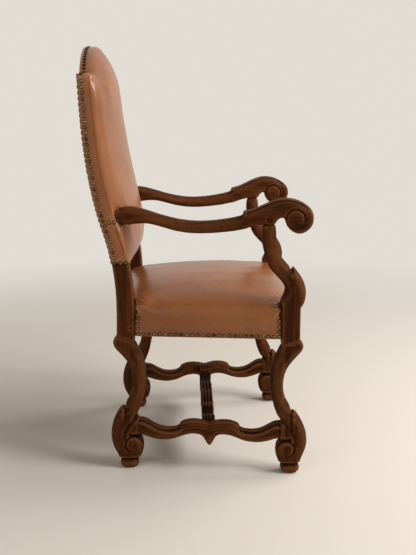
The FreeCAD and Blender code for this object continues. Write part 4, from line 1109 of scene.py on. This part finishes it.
points = points_of(back_cover)
away = from_border(back_cover, points)
depth = depth_of(points)
points[:, 1] += 7 * ramp(away, 6, 70) + ramp(depth, 34, 74) * np.interp(points[:, 2], *zip(*BACK_TRIM))
past_seam = ramp(depth - np.interp(points[:, 2], *zip(*SEAM_DEPTH)), 0, 26)
roll = np.interp(points[:, 2], *zip(*BACK_ROLL)) * past_seam
points = rasped(back_cover, points, roll, 70)
arch = 0.5 * ramp(depth, 24, 46) * ramp(points[:, 2], SHOULDER - 40, SHOULDER + 12)
points = rasped(back_cover, points, arch, 40)
move_points(back_cover, points)
swollen(back_cover, 1 - ramp(away, 16, 60), np.array([BACK_SWELL] * 3))
one_subdivision(back_cover)

points = points_of(back_cover)
facing = facing_of(back_cover)
from_side = 1000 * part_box("back_leather")[1].x - np.abs(points[:, 0])
depth = depth_of(points)
level = points[:, 2]
move = np.zeros(len(points))
for start, end, wide, rise in PULL_FOLDS:
    fold, share = off_segment(depth, level, start, end)
    move += rise * groove(fold, wide * (1 - 0.5 * share), 1) * ramp(share, 0, 0.15) * ramp(1 - share, 0, 0.15)
move *= 1 - ramp(from_side, 32, 52)
front = ramp(-facing[:, 1], 0.3, 0.8)
move += 1.2 * np.array([noise.noise(Vector(p) / 70) for p in points]) * front
rear_arris = np.clip(2.2 * facing[:, 1] * facing[:, 2], 0, 1)
move += ARRIS_FULL * rear_arris * ramp(level, SHOULDER - 10, SHOULDER + 20)
for side in (1, -1):
    away = np.linalg.norm(points - np.array((side * HESSIAN_CORNER[0], *HESSIAN_CORNER[1:])), axis=1)
    move += groove(away, 9, CORNER_FULL)
seam_off = np.abs(depth - np.interp(level, *zip(*SEAM_DEPTH)))
on_side = (np.abs(facing[:, 0]) > 0.5) & (level < SHOULDER - 2)
move -= groove(seam_off, 2.2, 0.8) * on_side
seam = back_cover.data.attributes.new("seam", "FLOAT", "POINT")
seam.data.foreach_set("value", np.where(on_side, 100 - seam_off, 0).astype(np.float32))
move -= dimples(points, BACK_NAILS)
move_points(back_cover, points + facing * move[:, None])
mark_relief(back_cover, 8)
back_cover.data.materials.append(tan_leather)
back_cover.data.shade_smooth()
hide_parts("back_leather", "back_border", "back_stuffing", "outside_back")
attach(back_cover, "root")


# Brass nails
# Cast brass nails with domed heads about 10 mm across are driven close together along every leather
# edge. They are old: dull and dark round the rim, bright where they rub, and none quite straight.
NAIL_RADIUS = 0.0052
NAIL_HEIGHT = 0.0036
FLAT_HEIGHT = 0.0009
NAIL_SINK = 0.0005
FLAT_SINK = 0.0009
PATINA = (
    (0.35, (0.010, 0.0064, 0.004, 1)), (0.76, (0.030, 0.020, 0.0125, 1)), (1.0, (0.20, 0.134, 0.078, 1)),
)

aged_brass, tree, shader = new_material("aged_brass")
shader.inputs["Metallic"].default_value = 1.0
place = tree.nodes.new("ShaderNodeTexCoord")
stain = clouds(tree, place.outputs["Object"], 260, 4)
bright = maths(tree, "MULTIPLY_ADD", stain, 0.9, stored(tree, "rub"))
tree.links.new(colour_ramp(tree, bright, *PATINA), shader.inputs["Base Color"])
tree.links.new(spread(tree, bright, 0.3, 1.0, 0.5, 0.17), shader.inputs["Roughness"])

bm = bmesh.new()
bmesh.ops.create_uvsphere(bm, u_segments=10, v_segments=8, radius=1)
whole = bm.verts[:] + bm.edges[:] + bm.faces[:]
bmesh.ops.bisect_plane(bm, geom=whole, plane_co=(0, 0, -0.02), plane_no=(0, 0, -1), clear_outer=True)
bmesh.ops.holes_fill(bm, edges=[e for e in bm.edges if e.is_boundary], sides=0)
dome = bpy.data.meshes.new("nail_dome")
bm.to_mesh(dome)
bm.free()

chance = np.random.default_rng(11)
for row in SEAT_NAILS + BACK_NAILS:
    rise, sink = (FLAT_HEIGHT, FLAT_SINK) if row == "outside_back_nails" else (NAIL_HEIGHT, NAIL_SINK)
    bm = bmesh.new()
    rub_layer = bm.verts.layers.float.new("rub")
    for middle, out in nail_seats(row):
        known = len(bm.verts)
        bm.from_mesh(dome)
        bm.verts.ensure_lookup_table()
        head = bm.verts[known:]
        tone = chance.uniform(-0.14, 0.14) - (0.2 if row == "crest_nails" else 0)
        for vert in head:
            vert[rub_layer] = 0.62 * vert.co.z ** 1.5 + tone if vert.co.z > 0 else tone
        radius = NAIL_RADIUS * chance.uniform(0.96, 1.03)
        lean = Euler([math.radians(v) for v in chance.uniform(-5, 5, 2)] + [chance.uniform(0, 6.28)])
        stand = out.to_track_quat("Z", "Y").to_matrix().to_4x4() @ lean.to_matrix().to_4x4()
        tall = rise * chance.uniform(0.9, 1.08)
        size = Matrix.Diagonal((radius, radius * chance.uniform(0.97, 1.03), tall, 1))
        bmesh.ops.transform(bm, matrix=Matrix.Translation(middle - out * sink) @ stand @ size, verts=head)
    nails = new_piece(row + "_domed", bm)
    nails.data.materials.append(aged_brass)
    nails.data.shade_smooth()
    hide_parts(row)
    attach(nails, "root")
bpy.data.meshes.remove(dome)
